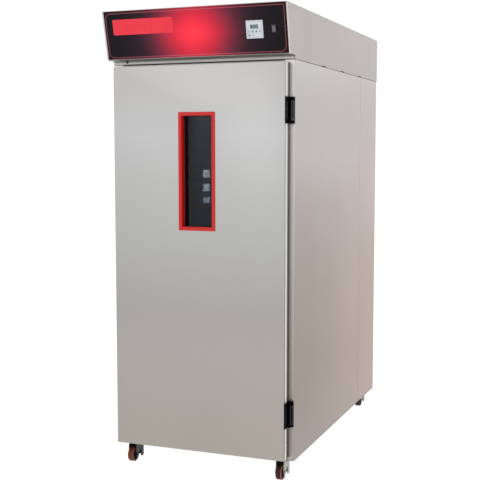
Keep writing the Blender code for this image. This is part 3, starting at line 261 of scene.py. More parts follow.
soft_lamp("front_lamp", (-2.5, -8.5, 4.8), (0.0, -0.7, 1.6), 5.0, 44)
soft_lamp("side_lamp", (3.6, 6.4, 4.4), (0.4, 0.0, 1.5), 4.0, 40)

# Outer sheets of the cabinet
# Brushed stainless steel, 1 mm thick and bent at the edges: a sheet for each side, a rear section,
# a base and a roof. The grain of the brushing runs upright, and faint smears of handling change its shine.


def soft_step(value, edge, width):
    """0 below an edge and 1 above it, with a ramp as wide as width between them."""
    return ((value - edge) / width + 0.5).least(1.0).most(0.0)


def brushed_steel(name, tones, grain=(620.0, 620.0, 7.0), roughness=0.34, rear_tones=None):
    """Steel whose fine stretched noise changes roughness and height, with broad soft smears.

    The tones are pairs of a height in metres and display levels; the colour runs from one to the next, as
    painted reflection and shade. With rear tones it also runs from the first set at the front to the second
    at the back, as painted light and shade.
    """
    steel = Finish(name, metallic=1.0)
    lines = steel.noise(grain, 4.0, 0.6)
    smears = steel.noise((2.3, 2.3, 1.1), 2.0)
    _, depth, rise = steel.axes()

    def toned(tones):
        foot, reach = tones[0][0], tones[-1][0] - tones[0][0]
        share = (rise - foot) * (1 / reach)
        light, dark = (steel.ramp(share, [((z - foot) / reach, linear(*np.subtract(levels, less)))
                                          for z, levels in tones]) for less in (0, 14))
        return steel.mix(lines * 0.35 + smears * 0.3, light, dark)

    colour = toned(tones)
    if rear_tones:
        colour = steel.mix(soft_step(depth, 0.15, 1.2), colour, toned(rear_tones))
    steel.feed(base_color=colour,
               roughness=roughness - 0.06 + lines * 0.10 + smears * 0.06)
    steel.bump(lines, 0.00003)
    return steel


def dressed(node, finish, body, bevel=0.0):
    """A merged copy of a CAD solid, with softened edges, that stands for the solid."""
    sharp = math.radians(28)
    shape = bmesh.new()
    shape.from_mesh(nodes[node].data)
    bmesh.ops.remove_doubles(shape, verts=shape.verts, dist=1e-5)
    bmesh.ops.dissolve_limit(shape, angle_limit=math.radians(0.5), verts=shape.verts, edges=shape.edges)
    mesh = bpy.data.meshes.new(node)
    shape.to_mesh(mesh)
    shape.free()
    mesh.materials.clear()
    mesh.materials.append(finish.material)
    mesh.shade_smooth()
    mesh.set_sharp_from_angle(angle=sharp)
    piece = bpy.data.objects.new(f"{node}_piece", mesh)
    scene.collection.objects.link(piece)
    if bevel:
        rounding = piece.modifiers.new("edge", "BEVEL")
        rounding.width = bevel
        rounding.segments = 2
        rounding.limit_method = "ANGLE"
        rounding.angle_limit = sharp
        rounding.harden_normals = True
    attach(piece, body)
    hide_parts(node)
    return piece


def painted(finish, *names):
    """CAD nodes that keep their mesh and take a finish."""
    for node in names:
        nodes[node].data.materials.clear()
        nodes[node].data.materials.append(finish.material)


def fitted(piece, body, slot, *replaced):
    """A made piece that rides a body and may stand for CAD nodes. The slot argument is not used."""
    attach(piece, body)
    for node in replaced:
        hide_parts(node)
    return piece


def even(level):
    """Tones of a sheet that is the same from foot to top, and slightly warm."""
    tone = (level, level - 1, level - 3)
    return [(0.0, tone), (2.0, tone)]


# Painted reflection and shade: the sheets are darker low down and lighter and redder towards the back.
stainless = brushed_steel("brushed_stainless", [
    (0.17, (154, 142, 135)), (0.42, (150, 135, 127)), (0.80, (156, 142, 134)),
    (1.14, (168, 158, 153)), (1.36, (183, 178, 173)), (1.70, (177, 174, 171))], rear_tones=[
    (0.17, (173, 151, 143)), (0.42, (175, 151, 143)), (0.80, (179, 159, 152)),
    (1.14, (188, 174, 169)), (1.36, (190, 178, 175)), (1.70, (185, 175, 171))])
body_front, body_foot = -0.6474, 0.0915
_, sheet_y, sheet_z = stainless.axes()
# Painted light: the front flanges, which lie in the shade of the recess behind the door, are painted lighter,
# and darker towards the foot. Painted shade: a dark line runs along the folded foot of the sheets.
front_flange = 1 - soft_step(sheet_y, body_front + 0.0012, 0.0008)
flange_painted_light = stainless.mix(soft_step(sheet_z, 1.0, 1.2), linear(172, 164, 158), linear(207, 205, 203))
foot_shade = 1 - soft_step(sheet_z, body_foot + 0.004, 0.003)
sheet_tone = stainless.mix(front_flange, stainless.colour(), flange_painted_light)
stainless.feed(base_color=stainless.mix(foot_shade * 0.7, sheet_tone, linear(96, 92, 88)))
for node in ("side_panel_right", "side_panel_left", "rear_shell", "base_pan", "roof_pan"):
    dressed(node, stainless, "cabinet", 0.0004)

# Control head
# A folded stainless cover on the roof: sides and top in one sheet, a flat back with air slots, and a
# leaning front panel. Pan-head screws hold the cover, four on each side and eight at the back.

# Painted reflection and shade: the cover is darker towards its top and lighter towards the back.
head_steel = brushed_steel("head_stainless", [(1.77, (161, 155, 152)), (1.98, (150, 143, 141))],
                           (620.0, 7.0, 620.0), 0.36, [(1.77, (172, 164, 161)), (1.98, (160, 151, 149))])
dressed("head_cover", head_steel, "cabinet", 0.0004)
dressed("head_back", head_steel, "cabinet", 0.0003)
dressed("fascia_panel", head_steel, "cabinet", 0.0003)


def frame_of(out, up):
    """Three unit directions as rows: across, up and out of a face."""
    out = np.array(out, float) / np.linalg.norm(out)
    up = np.array(up, float) - np.dot(up, out) * out
    up /= np.linalg.norm(up)
    return np.stack([np.cross(up, out), up, out])


def placed(points, centre, frame_rows):
    """Points (across, up, out) of a face's own frame, moved to the face."""
    return np.asarray(points) @ frame_rows + np.array(centre)


def screw_head(radius, height, centre, frame_rows):
    """Domed pan head: height falls with the square of the radius, with a cross-shaped recess sunk in."""
    share = np.array([0.0, 0.12, 0.22, 0.34, 0.48, 0.62, 0.74, 0.86, 0.96, 1.0])[:, None]
    angle = np.linspace(0, 2 * math.pi, 40, endpoint=False)[None, :]
    across, up = radius * share * np.cos(angle), radius * share * np.sin(angle)
    out = height * (1 - 0.45 * share ** 2) + 0 * angle
    slot = (np.minimum(abs(across), abs(up)) < 0.13 * radius) & (share < 0.6)
    out = out - 0.5 * height * slot
    grid = np.stack([across, up, out], -1)
    foot = grid[-1:] * [1, 1, 0]
    return placed(np.concatenate([grid, foot]), centre, frame_rows)


# A pale steel painted as highlight, for the screws in the sides of the cover and the hems of the fascia
# panel.
painted_highlight_steel = brushed_steel("painted_highlight_steel", even(206), (400.0, 400.0, 400.0), 0.26)


def ring_outline(half_x, half_y, radius, steps=5):
    """Points of a rounded rectangle: a quarter circle at each corner, in order."""
    angle = (np.arange(4)[:, None] * math.pi / 2 + np.linspace(0, math.pi / 2, steps)[None, :]).ravel()
    sign_x = np.repeat([1, -1, -1, 1], steps)
    sign_y = np.repeat([1, 1, -1, -1], steps)
    return np.stack([sign_x * (half_x - radius) + radius * np.cos(angle),
                     sign_y * (half_y - radius) + radius * np.sin(angle)], -1)


def bar_between(start, end, wide, thick, frame_rows):
    """A flat bar from one point of a face to another, in the face's own frame: a rounded section of its
    width and thickness is carried from end to end, and each end closes on its middle."""
    edge = 0.0003
    start, end = np.array(start, float), np.array(end, float)
    along = (end - start) / np.linalg.norm(end - start)
    beside = np.array([-along[1], along[0], 0.0])
    loop = ring_outline(wide / 2, thick / 2, edge, 3)
    section = loop[:, :1] * beside + loop[:, 1:] * np.array([0.0, 0.0, 1.0])
    rows = [np.zeros_like(section) + start, section * 0.6 + start, section + start + along * edge,
            section + end - along * edge, section * 0.6 + end, np.zeros_like(section) + end]
    return placed(np.stack(rows), (0, 0, 0), frame_rows)


zinc = brushed_steel("zinc_plate", even(178), (300.0, 300.0, 300.0), 0.30)
side_screws = [(-0.7196, 1.963), (-0.6924, 1.8072), (0.7423, 1.95), (0.7226, 1.7991)]
side_plane = 0.4157


def at_side_screws(radius, height):
    """Screw heads, or dark rings under them painted as their shadow, of one size at every screw in the sides
    of the cover.
    """
    return [screw_head(radius, height, (side * side_plane, y, z), frame_of((side, 0, 0), (0, 0, 1)))
            for side in (1, -1) for y, z in side_screws]


# The side screws are painted pale as highlight.
fitted(make_piece("cover_screws", at_side_screws(0.0040, 0.0014), painted_highlight_steel), "cabinet", "zinc")
back_plane = 0.7518
back_screws = [screw_head(0.0034, 0.0013, (x, back_plane, z), frame_of((0, 1, 0), (0, 0, 1)))
               for x in (-0.395, -0.13, 0.13, 0.395) for z in (1.776, 1.966)]
fitted(make_piece("back_screws", back_screws, zinc), "cabinet", "zinc")

# Fascia film and rail
# A printed plastic film stuck on the leaning front panel: black with a red glow in the middle, a thin pink
# line near its edge and a plain red plate area at the left. Under it a flat steel rail closes the foot of
# the head, with one dark rivet. Dark rings painted as shadow lie under the screws of the cover, and the
# hems of the panel are painted pale as highlight.

slant_up = (0.0, -0.2215, 0.9752)
slant_out = (0.0, -0.9752, -0.2215)
slant_foot = (0.0, -0.7071, 1.7815)
film = Finish("fascia_film", roughness=0.46, specular_ior_level=0.1)
film_x, _, film_z = film.axes()
rise = (film_z - slant_foot[2]) * (1 / slant_up[2])


def rounded_distance(x, y, half_x, half_y, radius):
    """Distance outside a rounded rectangle: the length of the part of the offset that is past its corners'
    centres, less the radius, plus the deeper of the two offsets inside it."""
    over_x, over_y = abs(x) - (half_x - radius), abs(y) - (half_y - radius)
    beyond = (over_x.most(0.0) ** 2 + over_y.most(0.0) ** 2) ** 0.5
    return beyond + over_x.most(over_y).least(0.0) - radius


height_off = rise - 0.10
spread = 1 - 4.0 * ((height_off ** 2 + 0.0004) ** 0.5 - 0.02)
glow = (2.71828 ** (-1 * (film_x / 0.175) ** 2)) * spread.most(0.0)
field = film.ramp(glow, [(0.0, linear(17, 16, 19)), (0.13, linear(48, 28, 38)), (0.27, linear(88, 36, 50)),
                         (0.48, linear(146, 42, 60)), (0.72, linear(204, 42, 64)),
                         (0.92, linear(240, 50, 70)), (1.0, linear(255, 58, 74))])
line_x, line_y, line_half = film_x + 0.0007, rise - 0.10255, (0.4000, 0.09205)
soft_corners, tight_corner = (rounded_distance(line_x, line_y, *line_half, radius)
                              for radius in (0.022, 0.004))
top_right = (line_x > 0.0) * (line_y > 0.0)
border = soft_corners * (1 - top_right) + tight_corner * top_right
line = 1 - soft_step(abs(border), 0.0013, 0.0008)
outside = soft_step(border, 0.002, 0.003)
edge_red = film.mix(outside * 0.75, field, film.mix(glow, linear(34, 6, 13), linear(214, 48, 66)))
inked = film.mix(line, edge_red, film.mix(glow, linear(142, 70, 84), linear(206, 100, 112)))
plate_edge = rounded_distance(film_x + 0.2302, rise - 0.1372, 0.1398, 0.0322, 0.006)
plate_red = film.mix(film.noise((60, 60, 60)), linear(222, 54, 68), linear(232, 64, 77))
film.feed(base_color=film.mix(1 - soft_step(plate_edge, 0.0, 0.0008), inked, plate_red),
          roughness=0.40 + film.noise((900, 900, 900)) * 0.06)
film.bump(film.noise((700, 700, 700), 2.0), 0.00002)
dressed("fascia_overlay", film, "cabinet", 0.0002)
slant = frame_of(slant_out, slant_up)
hems = [bar_between((side * 0.4124, -0.0005, 0), (side * 0.4124, 0.2065, 0), 0.0066, 0.0012, slant)
        for side in (1, -1)]
hems.append(bar_between((-0.4150, 0.2061, 0), (0.4150, 0.2061, 0), 0.0030, 0.0012, slant))
hems = [hem + np.array(slant_foot) - np.array(slant_out) * 0.0004 for hem in hems]
# The hems are painted pale as highlight.
fitted(make_piece("fascia_hem", hems, painted_highlight_steel), "cabinet", "stainless")
rail_steel = brushed_steel("rail_stainless", even(180), (7.0, 620.0, 620.0), 0.30)
upright = frame_of((0, -1, 0), (0, 0, 1))
rail_reach, rail_height, rail_out = 0.4140, 1.7737, 0.6524
rail = bar_between((-rail_reach, rail_height, rail_out), (rail_reach, rail_height, rail_out),
                   0.0148, 0.0008, upright)
fitted(make_piece("fascia_rail", [rail], rail_steel), "cabinet", "stainless")


def mottled(name, light, dark, scale, roughness=0.4, spread=0.1, depth=0.00003, detail=3.0, **constants):
    """A finish whose fine noise carries the colour between two tones and changes roughness and height."""
    finish = Finish(name, **constants)
    grain = finish.noise((scale, scale, scale), detail)
    finish.feed(base_color=finish.mix(grain, linear(*light), linear(*dark)),
                roughness=roughness + grain * spread)
    finish.bump(grain, depth)
    return finish


rivet_and_shadow_dark = mottled("rivet_and_shadow_dark", (24, 26, 26), (40, 42, 42), 300.0, metallic=0.4)
rail_rivet = screw_head(0.0050, 0.0014, (-0.348, -0.6528, 1.7755), upright)
fitted(make_piece("rail_rivet", [rail_rivet], rivet_and_shadow_dark), "cabinet", "zinc")
# Dark rings painted as the shadow round the side screws.
fitted(make_piece("screw_shadow_rings", at_side_screws(0.0056, 0.0005), rivet_and_shadow_dark), "cabinet", "zinc")

# Panel controller
# A square snap-in controller of pale plastic with a small grey display and six flat keys, each of which moves
# in its own pocket. Its face has a thin outline, and the keys carry plain pictograms.

across_x, face_up = 0.271, 0.1025
face_middle = np.array([across_x, 0.0, 0.0]) + slant_foot + face_up * np.array(slant_up)
front_out = 0.0014 + 0.0060


def on_face(points):
    """Points measured from the controller's middle, out of the film's plane, in the cabinet's frame."""
    return placed(points, face_middle, slant)


pale_plastic = Finish("pale_plastic", roughness=0.38, specular_ior_level=0.4)
pale_x, _, pale_z = pale_plastic.axes()
label_x = pale_x - across_x
label_y = (pale_z - face_middle[2] + 0.0014) * (1 / slant_up[2])
label_edge = rounded_distance(label_x, label_y, 0.0308, 0.0314, 0.003)
label = 1 - soft_step(label_edge, 0.0, 0.0006)
outline = 1 - soft_step(abs(label_edge), 0.0004, 0.0004)
speckle = pale_plastic.noise((500, 500, 500))
pale_plastic.feed(base_color=pale_plastic.mix(
    outline, pale_plastic.mix(label, pale_plastic.mix(speckle, linear(201, 199, 207), linear(207, 205, 213)),
                              pale_plastic.mix(speckle, linear(192, 202, 208), linear(198, 208, 214))),
    linear(122, 134, 146)), roughness=0.36 + speckle * 0.08)
pale_plastic.bump(speckle, 0.00002)
dressed("controller_housing", pale_plastic, "cabinet", 0.0004)

key_plastic = mottled("key_plastic", (188, 199, 203), (196, 206, 210), 700.0, 0.40, 0.08, 0.00002)
for number in range(1, 7):
    dressed(f"controller_key_{number}", key_plastic, f"key_{number}", 0.0002)

display = Finish("display", roughness=0.16, coat_weight=0.5, coat_roughness=0.05)
display_shade = soft_step(display.axes()[0], across_x - 0.011, 0.006)
display.feed(base_color=display.mix(display_shade, linear(74, 92, 93), linear(106, 124, 122)),
             roughness=0.14 + display.noise((400, 400, 400)) * 0.05)
dressed("controller_screen", display, "cabinet", 0.0002)


def raised(outline_points, low, high, middle=(0.0, 0.0)):
    """A flat mark: an outline carried from one height to another, closed towards its middle at both ends."""
    outline_points = np.asarray(outline_points, float)
    heart = np.broadcast_to(outline_points.mean(0), outline_points.shape)
    rows = [np.column_stack([ring + np.array(middle), np.full(len(ring), level)])
            for ring, level in ((heart, low), (outline_points, low), (outline_points, high), (heart, high))]
    return np.stack(rows)


def bar(left, low, right, high):
    """Corners of an upright rectangle, in order."""
    return [(left, low), (right, low), (right, high), (left, high)]


ink = mottled("mark_ink", (24, 30, 40), (38, 46, 58), 900.0, 0.45, 0.1, 0.00001)
segment_ink = mottled("segment_ink", (36, 50, 52), (48, 62, 64), 900.0, 0.28, 0.06, 0.00001)
segment_bars = {"a": (0.6, 9.0, 4.4, 9.8), "b": (4.2, 5.2, 5.0, 9.2), "c": (4.2, 0.8, 5.0, 4.8),
                "d": (0.6, 0.2, 4.4, 1.0), "e": (0.0, 0.8, 0.8, 4.8), "f": (0.0, 5.2, 0.8, 9.2),
                "g": (0.6, 4.6, 4.4, 5.4)}
digit_bars = {"2": "abged", "8": "abcdefg", "5": "afgcd"}
screen_top = front_out - 0.0003


def screen_bar(left, low, right, high, place=0.0):
    """One dark bar of the display, from corners in millimetres and the place of its digit."""
    corners = np.array(bar(left + place, low, right + place, high)) * 0.001 + [0.001, 0.0062]
    return on_face(raised(corners, screen_top - 0.0001, screen_top + 0.0001))


segments = [screen_bar(*segment_bars[part], place)
            for place, digit in ((-6.4, "2"), (0.2, "8"), (6.8, "5")) for part in digit_bars[digit]]
segments += [screen_bar(5.7, 0.2, 6.4, 1.0), screen_bar(-14.2, 0.6, -11.2, 9.4)]
fitted(make_piece("display_segments", segments, segment_ink), "cabinet", "screen")

turn = np.linspace(0, 2 * math.pi, 25)[:-1]
half_ring = [(radius * math.cos(a), radius * math.sin(a))
             for radius, angles in ((2.5, (0, 180)), (1.6, (180, 0)))
             for a in np.radians(np.linspace(*angles, 13))]
marks = {
    1: [bar(-2.8, -2.1, -1.9, 2.1), bar(-1.9, -2.1, 2.8, -1.2), bar(-1.9, 1.3, 0.4, 2.1)],
    2: [half_ring, [(-x, -y) for x, y in half_ring]],
    3: [[(-3.1, -2.1), (3.1, -2.1), (0.0, 2.9)]],
    4: [[(-2.6, -1.7), (-1.7, -2.5), (2.6, 1.7), (1.7, 2.5)]],
    5: [np.stack([2.3 * np.cos(turn), 2.0 * np.sin(turn)], -1)],
    6: [bar(-2.0, -0.5, 2.0, 0.5)],
}
key_top = front_out + 0.0008
for number, shapes in marks.items():
    column, row = ((number - 1) % 4, 0) if number < 5 else (number - 5, 1)
    centre = (0.0157 * (column - 1.5), (-0.0075, -0.0228)[row])
    grids = [on_face(raised(np.array(shape) * 0.0013, key_top - 0.0001, key_top + 0.0001, centre))
             for shape in shapes]
    fitted(make_piece(f"key_mark_{number}", grids, ink), f"key_{number}", "key_plastic")

# Rocker switch
# A lit rocker of mauve plastic that tips in a black snap-in rim at the right of the controller. Its right
# half is painted dark as shade.

black_gloss = mottled("black_plastic", (12, 13, 15), (24, 26, 29), 160.0, 0.20, 0.14, 0.00004, 4.0,
                      specular_ior_level=0.5)
dressed("switch_bezel", black_gloss, "cabinet", 0.0004)
mauve = Finish("mauve_plastic", roughness=0.28)
mauve_mottle = mauve.noise((300, 300, 300))
unshaded_mauve = mauve.mix(mauve_mottle, linear(100, 86, 104), linear(110, 94, 114))
# Painted shade: right of its middle the rocker turns dark.
mauve.feed(base_color=mauve.mix(soft_step(mauve.axes()[0], 0.3590, 0.003), unshaded_mauve, linear(34, 27, 38)),
           roughness=0.24 + mauve_mottle * 0.1)
dressed("switch_rocker", mauve, "power_rocker", 0.0004)

# Door
# A 50 mm leaf: a stainless skin with softly rounded edges outside, foam within, and an inner pan whose
# plug fills the throat. A black rubber gasket runs round the back of it.

# Painted reflection and shade: the door is darker towards its foot and lightest at about 1.46 m.
door_steel = brushed_steel("door_stainless", [(0.16, (173, 166, 159)), (0.50, (175, 169, 165)),
                                              (0.70, (170, 167, 164)), (1.04, (180, 180, 178)),
                                              (1.46, (190, 190, 190)), (1.71, (181, 179, 178))])


def edged(steel):
    """Gives the narrow side faces of the door a pale bar between a front strip painted as shade, darker
    towards the foot, and a dark rear strip painted as the shade by the gap.
    """
    x, y, z = steel.axes()
    side_face = soft_step(abs(x), 0.3896, 0.0006)
    past_strip, past_bar = soft_step(y, -0.6925, 0.003), soft_step(y, -0.6705, 0.004)
    front_tone = steel.mix(soft_step(z, 1.0, 1.6), linear(140, 134, 129), linear(180, 179, 177))
    rear_tone = steel.mix(past_bar, linear(220, 219, 216), linear(120, 117, 114))
    side_tone = steel.mix(past_strip, front_tone, rear_tone)
    steel.feed(base_color=steel.mix(side_face, steel.colour(), side_tone),
               metallic=1 - side_face * past_strip * (1 - past_bar))


edged(door_steel)
dressed("door_skin", door_steel, "door", 0.0003)
pan_steel = brushed_steel("pan_stainless", even(176))
edged(pan_steel)
dressed("door_inner_pan", pan_steel, "door", 0.0004)


def ring_sweep(profile, half_x, half_y, corner, middle, frame_rows, steps=5):
    """A closed profile of (offset outwards, height out) carried round a rounded rectangle."""
    rows = [np.column_stack([ring_outline(half_x + offset, half_y + offset, corner, steps),
                             np.full(4 * steps, out)]) for offset, out in list(profile) + [profile[0]]]
    return placed(np.stack(rows), middle, frame_rows)


def arc(middle, radius, start, end, steps=5):
    """Points of a circle's arc between two angles in degrees."""
    angle = np.radians(np.linspace(start, end, steps))
    return list(zip(middle[0] + radius * np.cos(angle), middle[1] + radius * np.sin(angle)))


rubber = mottled("black_rubber", (17, 18, 19), (32, 33, 35), 260.0, 0.66, 0.14, 0.0001, 4.0)
gasket_middle = (0.0, -0.6504, (0.108 + 1.7476) / 2)
gasket_profile = [(0.0, -0.0027), (0.0, -0.0006)] + arc((-0.0032, -0.0006), 0.0032, 0, 90, 5)[1:]
gasket_profile += arc((-0.0108, -0.0006), 0.0032, 90, 180, 5) + [(-0.0140, -0.0027)]
gasket_profile = [(offset, -out) for offset, out in gasket_profile]
gasket = ring_sweep(gasket_profile, 0.3846, 0.8198, 0.003, gasket_middle, upright)
fitted(make_piece("gasket_ring", [gasket], rubber), "door", "black_rubber", "door_gasket")

# Window
# A red painted frame with mitred corners stands in the skin and lines the opening. Behind it two panes
# of tinted glass close a short tunnel that is black inside, with small pale glowing domes beside the inner
# pane as painted glints and a rubber seal behind it. The glass tint is painted paler towards the top as
# light.

window_middle = (0.0, 0.0, 1.307)
half_across, half_up = 0.0689, 0.23425


def round_window(profile, corner=0.0004, steps=3):
    """A profile carried round the opening of the window."""
    return [ring_sweep(profile, half_across, half_up, corner, window_middle, upright, steps)]


red_paint = Finish("red_paint", roughness=0.34, specular_ior_level=0.35)
peel = red_paint.noise((170, 170, 170), 2.0)
# Painted light: the reveal inside the opening takes its own deeper red, raised to make up for the shade it
# lies in.
reveal = soft_step(red_paint.axes()[1], -0.6990, 0.004)
red_paint.feed(base_color=red_paint.mix(reveal, red_paint.mix(peel, linear(184, 24, 17), linear(194, 31, 23)),
                                        linear(192, 6, 8)), roughness=0.30 + peel * 0.08)
red_paint.bump(peel, 0.00004)
frame_profile = [(0.0, 0.6694), (0.0, 0.7054)] + arc((0.0008, 0.7054), 0.0008, 180, 90, 4)[1:]
frame_profile += [(0.0112, 0.7062), (0.0150, 0.7047), (0.0155, 0.7040), (0.0155, 0.7037), (0.0015, 0.7037),
                  (0.0015, 0.6694)]
fitted(make_piece("window_surround", round_window(frame_profile), red_paint, 40.0),
       "door", "red_frame", "window_frame")

glass = Finish("clear_glass", transmission_weight=1.0, ior=1.29)
glass_smear = glass.noise((7, 7, 3), 3.0)
# Painted light: the tint runs from dark blue at the foot of the window to pale at the top.
painted_light_rise = (glass.axes()[2] - 1.073) * (1 / 0.468)
glass.feed(base_color=glass.mix(painted_light_rise + glass_smear * 0.2 - 0.1,
                                linear(126, 145, 171), linear(212, 215, 233)),
           roughness=0.015 + glass_smear * 0.03)
for node in ("window_glass_outer", "window_glass_inner"):
    dressed(node, glass, "door", 0.0002)

tunnel_black = Finish("tunnel_black", roughness=0.6)
tunnel_black.feed(base_color=tunnel_black.mix(tunnel_black.noise((200, 200, 200)), linear(6, 6, 7),
                                              linear(12, 12, 14)))
strip = [(-0.0016, 0.6694), (-0.0016, 0.6767), (-0.0010, 0.6775), (0.0004, 0.6775), (0.0004, 0.6694)]
fitted(make_piece("glazing_strip", round_window(strip), rubber), "door", "black_rubber")
sleeve = [(-0.0002, 0.6648), (-0.0002, 0.6318), (-0.0010, 0.6318), (-0.0010, 0.6648)]
fitted(make_piece("window_tunnel", round_window(sleeve), tunnel_black), "door", "black_rubber")


def spun(profile, centre, frame_rows, steps=72):
    """Points (radius, along) of a profile turned round the out direction of a frame."""
    angle = np.linspace(0, 2 * math.pi, steps, endpoint=False)[None, :]
    radius, along = np.array(profile, float).T[:, :, None]
    grid = np.stack([radius * np.cos(angle), radius * np.sin(angle), along + 0 * angle], -1)
    return placed(grid, centre, frame_rows)


# Painted glints: small pale domes that glow though no lamp lights them, at the heights of the rack's ledges.
glint_dome = [(0.0, 0.0012), (0.0014, 0.0010), (0.0022, 0.0004), (0.0024, 0.0), (0.0, 0.0)]
glint_places = [(-0.6558, 1.4453), (-0.6525, 1.3816), (-0.6380, 1.3200), (-0.6541, 1.2567)]
glints = [spun(glint_dome, (side * (0.0002 - half_across), y, z), frame_of((side, 0, 0), (0, 0, 1)), 14)
        for side in (1, -1) for y, z in glint_places]
glint_glow = mottled("glint_glow", (196, 204, 200), (226, 232, 228), 500.0, 0.3, 0.1,
                   emission_color=(0.9, 1.0, 0.94, 1.0), emission_strength=0.25)
fitted(make_piece("painted_glints", glints, glint_glow), "door", "zinc")
seal = [(-0.0004, 0.6240), (0.0040, 0.6240), (0.0046, 0.6253), (-0.0004, 0.6272), (-0.0036, 0.6272),
        (-0.0040, 0.6258), (-0.0030, 0.6244)]
fitted(make_piece("window_seal", round_window(seal, 0.006, 5), rubber), "door", "black_rubber")

# Hinges
# Two black hinges at the right edge of the door, each with a leaf on the door's edge, a pin with knuckles
# and a leaf on the body. A long ring stands proud round the slot of the body leaf; it is painted grey as lit
# on the upper hinge and dark as shaded on the lower, and a thin bar along each knuckle is a painted
# highlight.

hinge_black = mottled("hinge_black", (4, 4, 6), (9, 10, 13), 160.0, 0.40, 0.14, specular_ior_level=0.03)
# The same rim in two copies: grey where it is lit on the upper hinge, dark where it is shaded on the lower
# one.
rim_lit_and_shaded = {"upper": mottled("rim_plastic_lit", (76, 83, 86), (94, 100, 102), 300.0, 0.34),
            "lower": mottled("rim_plastic_shaded", (30, 33, 36), (44, 48, 51), 300.0, 0.34)}
rim_face = frame_of((10.1, -9.0, 0.0), (0, 0, 1))
rightward = frame_of((1, 0, 0), (0, 0, 1))
bead = [(0.0012 * math.cos(a), 0.0008 * math.sin(a)) for a in np.linspace(0, 2 * math.pi, 13)[:-1]]
for level, height in (("upper", 1.559), ("lower", 0.2935)):
    dressed(f"hinge_door_leaf_{level}", hinge_black, "door", 0.0006)
    dressed(f"hinge_frame_leaf_{level}", hinge_black, "cabinet", 0.0006)
    rim_middle = (0.4106, -0.6633, height - 0.002)
    rim = ring_sweep(bead, 0.0045, 0.0385, 0.0040, rim_middle, rim_face, 7)
    fitted(make_piece(f"hinge_rim_{level}", [rim], rim_lit_and_shaded[level]), "cabinet", "black_plastic")
    pivot_screw = screw_head(0.0017, 0.0006, (0.39275, -0.7016, height + 0.002), upright)
    # A thin bar along each knuckle is a painted highlight.
    highlight_line = bar_between((-0.6890, height - 0.036, 0.3946), (-0.6890, height + 0.034, 0.3946),
                            0.0016, 0.0010, rightward)
    fitted(make_piece(f"hinge_screw_{level}", [pivot_screw], rim_lit_and_shaded[level]), "door", "black_plastic")
    fitted(make_piece(f"hinge_highlight_{level}", [highlight_line], rim_lit_and_shaded[level]), "door", "black_plastic")

# Casters
# Four swivel casters with zinc-plated forks. Each has a bolted plate over a ball race, and a wheel with
# an orange-brown tread on a black core that turns on a bolt with a nut at either side. Painted shade: the
# plates are black, a black sheet arches over each wheel, the forks are nearly black on their faces
# towards the wheel, the left forks take a shaded copy of the plating, and the tread is darker on the right
# and rear wheels.

caster_across, caster_trail, plate_underside = 0.351, 0.030, 0.0882
wheel_radius, tread_round = 0.0322, 0.0040
tread = Finish("orange_tread", roughness=0.46, specular_ior_level=0.2)
tread_grain = tread.noise((240, 240, 240), 4.0)
tread_x, tread_y, _ = tread.axes()
on_right, rear_wheel_shade = tread_x > 0.0, tread_y > 0.0
off_middle = tread_x + caster_across - on_right * (2 * caster_across)
shoulder = soft_step(off_middle, 0.0108, 0.0012) * (1 - soft_step(off_middle, 0.0131, 0.0006))
# Painted light and shade: the tread is orange-brown on the left wheels, much darker on the right ones and
# darker still on the rear ones; the shoulder band is grey-brown on the left wheels and painted pale on the
# right ones as highlight.
face_tone = tread.mix(on_right, tread.mix(tread_grain, linear(86, 38, 12), linear(112, 52, 18)),
                      tread.mix(tread_grain, linear(30, 20, 8), linear(54, 32, 13)))
ring_tone = tread.mix(on_right, linear(104, 78, 62), linear(172, 98, 84))
rear_tone = tread.mix(tread_grain, linear(26, 17, 11), linear(44, 28, 16))
tread.feed(base_color=tread.mix(rear_wheel_shade, tread.mix(shoulder, face_tone, ring_tone), rear_tone),
           roughness=0.40 + tread_grain * 0.2)
tread.bump(tread_grain, 0.00015)
core_black = mottled("core_black", (10, 10, 11), (20, 20, 22), 220.0, 0.42, 0.16, specular_ior_level=0.3)
tread_profile = [(0.0255, -0.0135)] + arc((wheel_radius - tread_round, -0.0095), tread_round, -90, 0, 7)
tread_profile += [(wheel_radius, 0.0), (wheel_radius, 0.0095)]
tread_profile += arc((wheel_radius - tread_round, 0.0095), tread_round, 0, 90, 7)
tread_profile += [(0.0255, 0.0135), (0.0252, 0.0130), (0.0252, -0.0130), (0.0255, -0.0135)]
core_half = [(0.0045, -0.0159), (0.0085, -0.0159), (0.0098, -0.0150), (0.0105, -0.0060), (0.0120, -0.0050),
             (0.0195, -0.0050), (0.0209, -0.0062), (0.0212, -0.0116), (0.0220, -0.0125), (0.0248, -0.0125),
             (0.0251, -0.0120)]
core_profile = core_half + [(radius, -along) for radius, along in core_half[::-1]] + core_half[:1]


def fork_finish(name, light, dark):
    """Plated steel between two tones outside, and nearly black on the faces towards the wheel, painted as the
    shade there.
    """
    plated = Finish(name, metallic=1.0)
    grain = plated.noise((300, 300, 300), 4.0)
    inside = 1 - soft_step(abs(abs(plated.axes()[0]) - caster_across), 0.0168, 0.0008)
    outer_tone = plated.mix(grain, linear(*light), linear(*dark))
    plated.feed(base_color=plated.mix(inside, outer_tone, linear(30, 30, 30)),
                roughness=0.26 + grain * 0.14)
    plated.bump(grain, 0.00004)
    return plated


def arc_shell(loop, start, end, centre, frame_rows):
    """A closed loop of (radius, along) carried round an arc, and closed on its middle at both ends."""
    loop = np.array(loop, float)
    angle = np.radians(np.linspace(start, end, 20))[:, None]
    around = np.stack([loop[:, 0] * np.cos(angle), loop[:, 0] * np.sin(angle), loop[:, 1] + 0 * angle], -1)
    caps = [np.broadcast_to(around[row].mean(0), around[0].shape)[None] for row in (0, -1)]
    return placed(np.concatenate([caps[0], around, caps[1]]), centre, frame_rows)


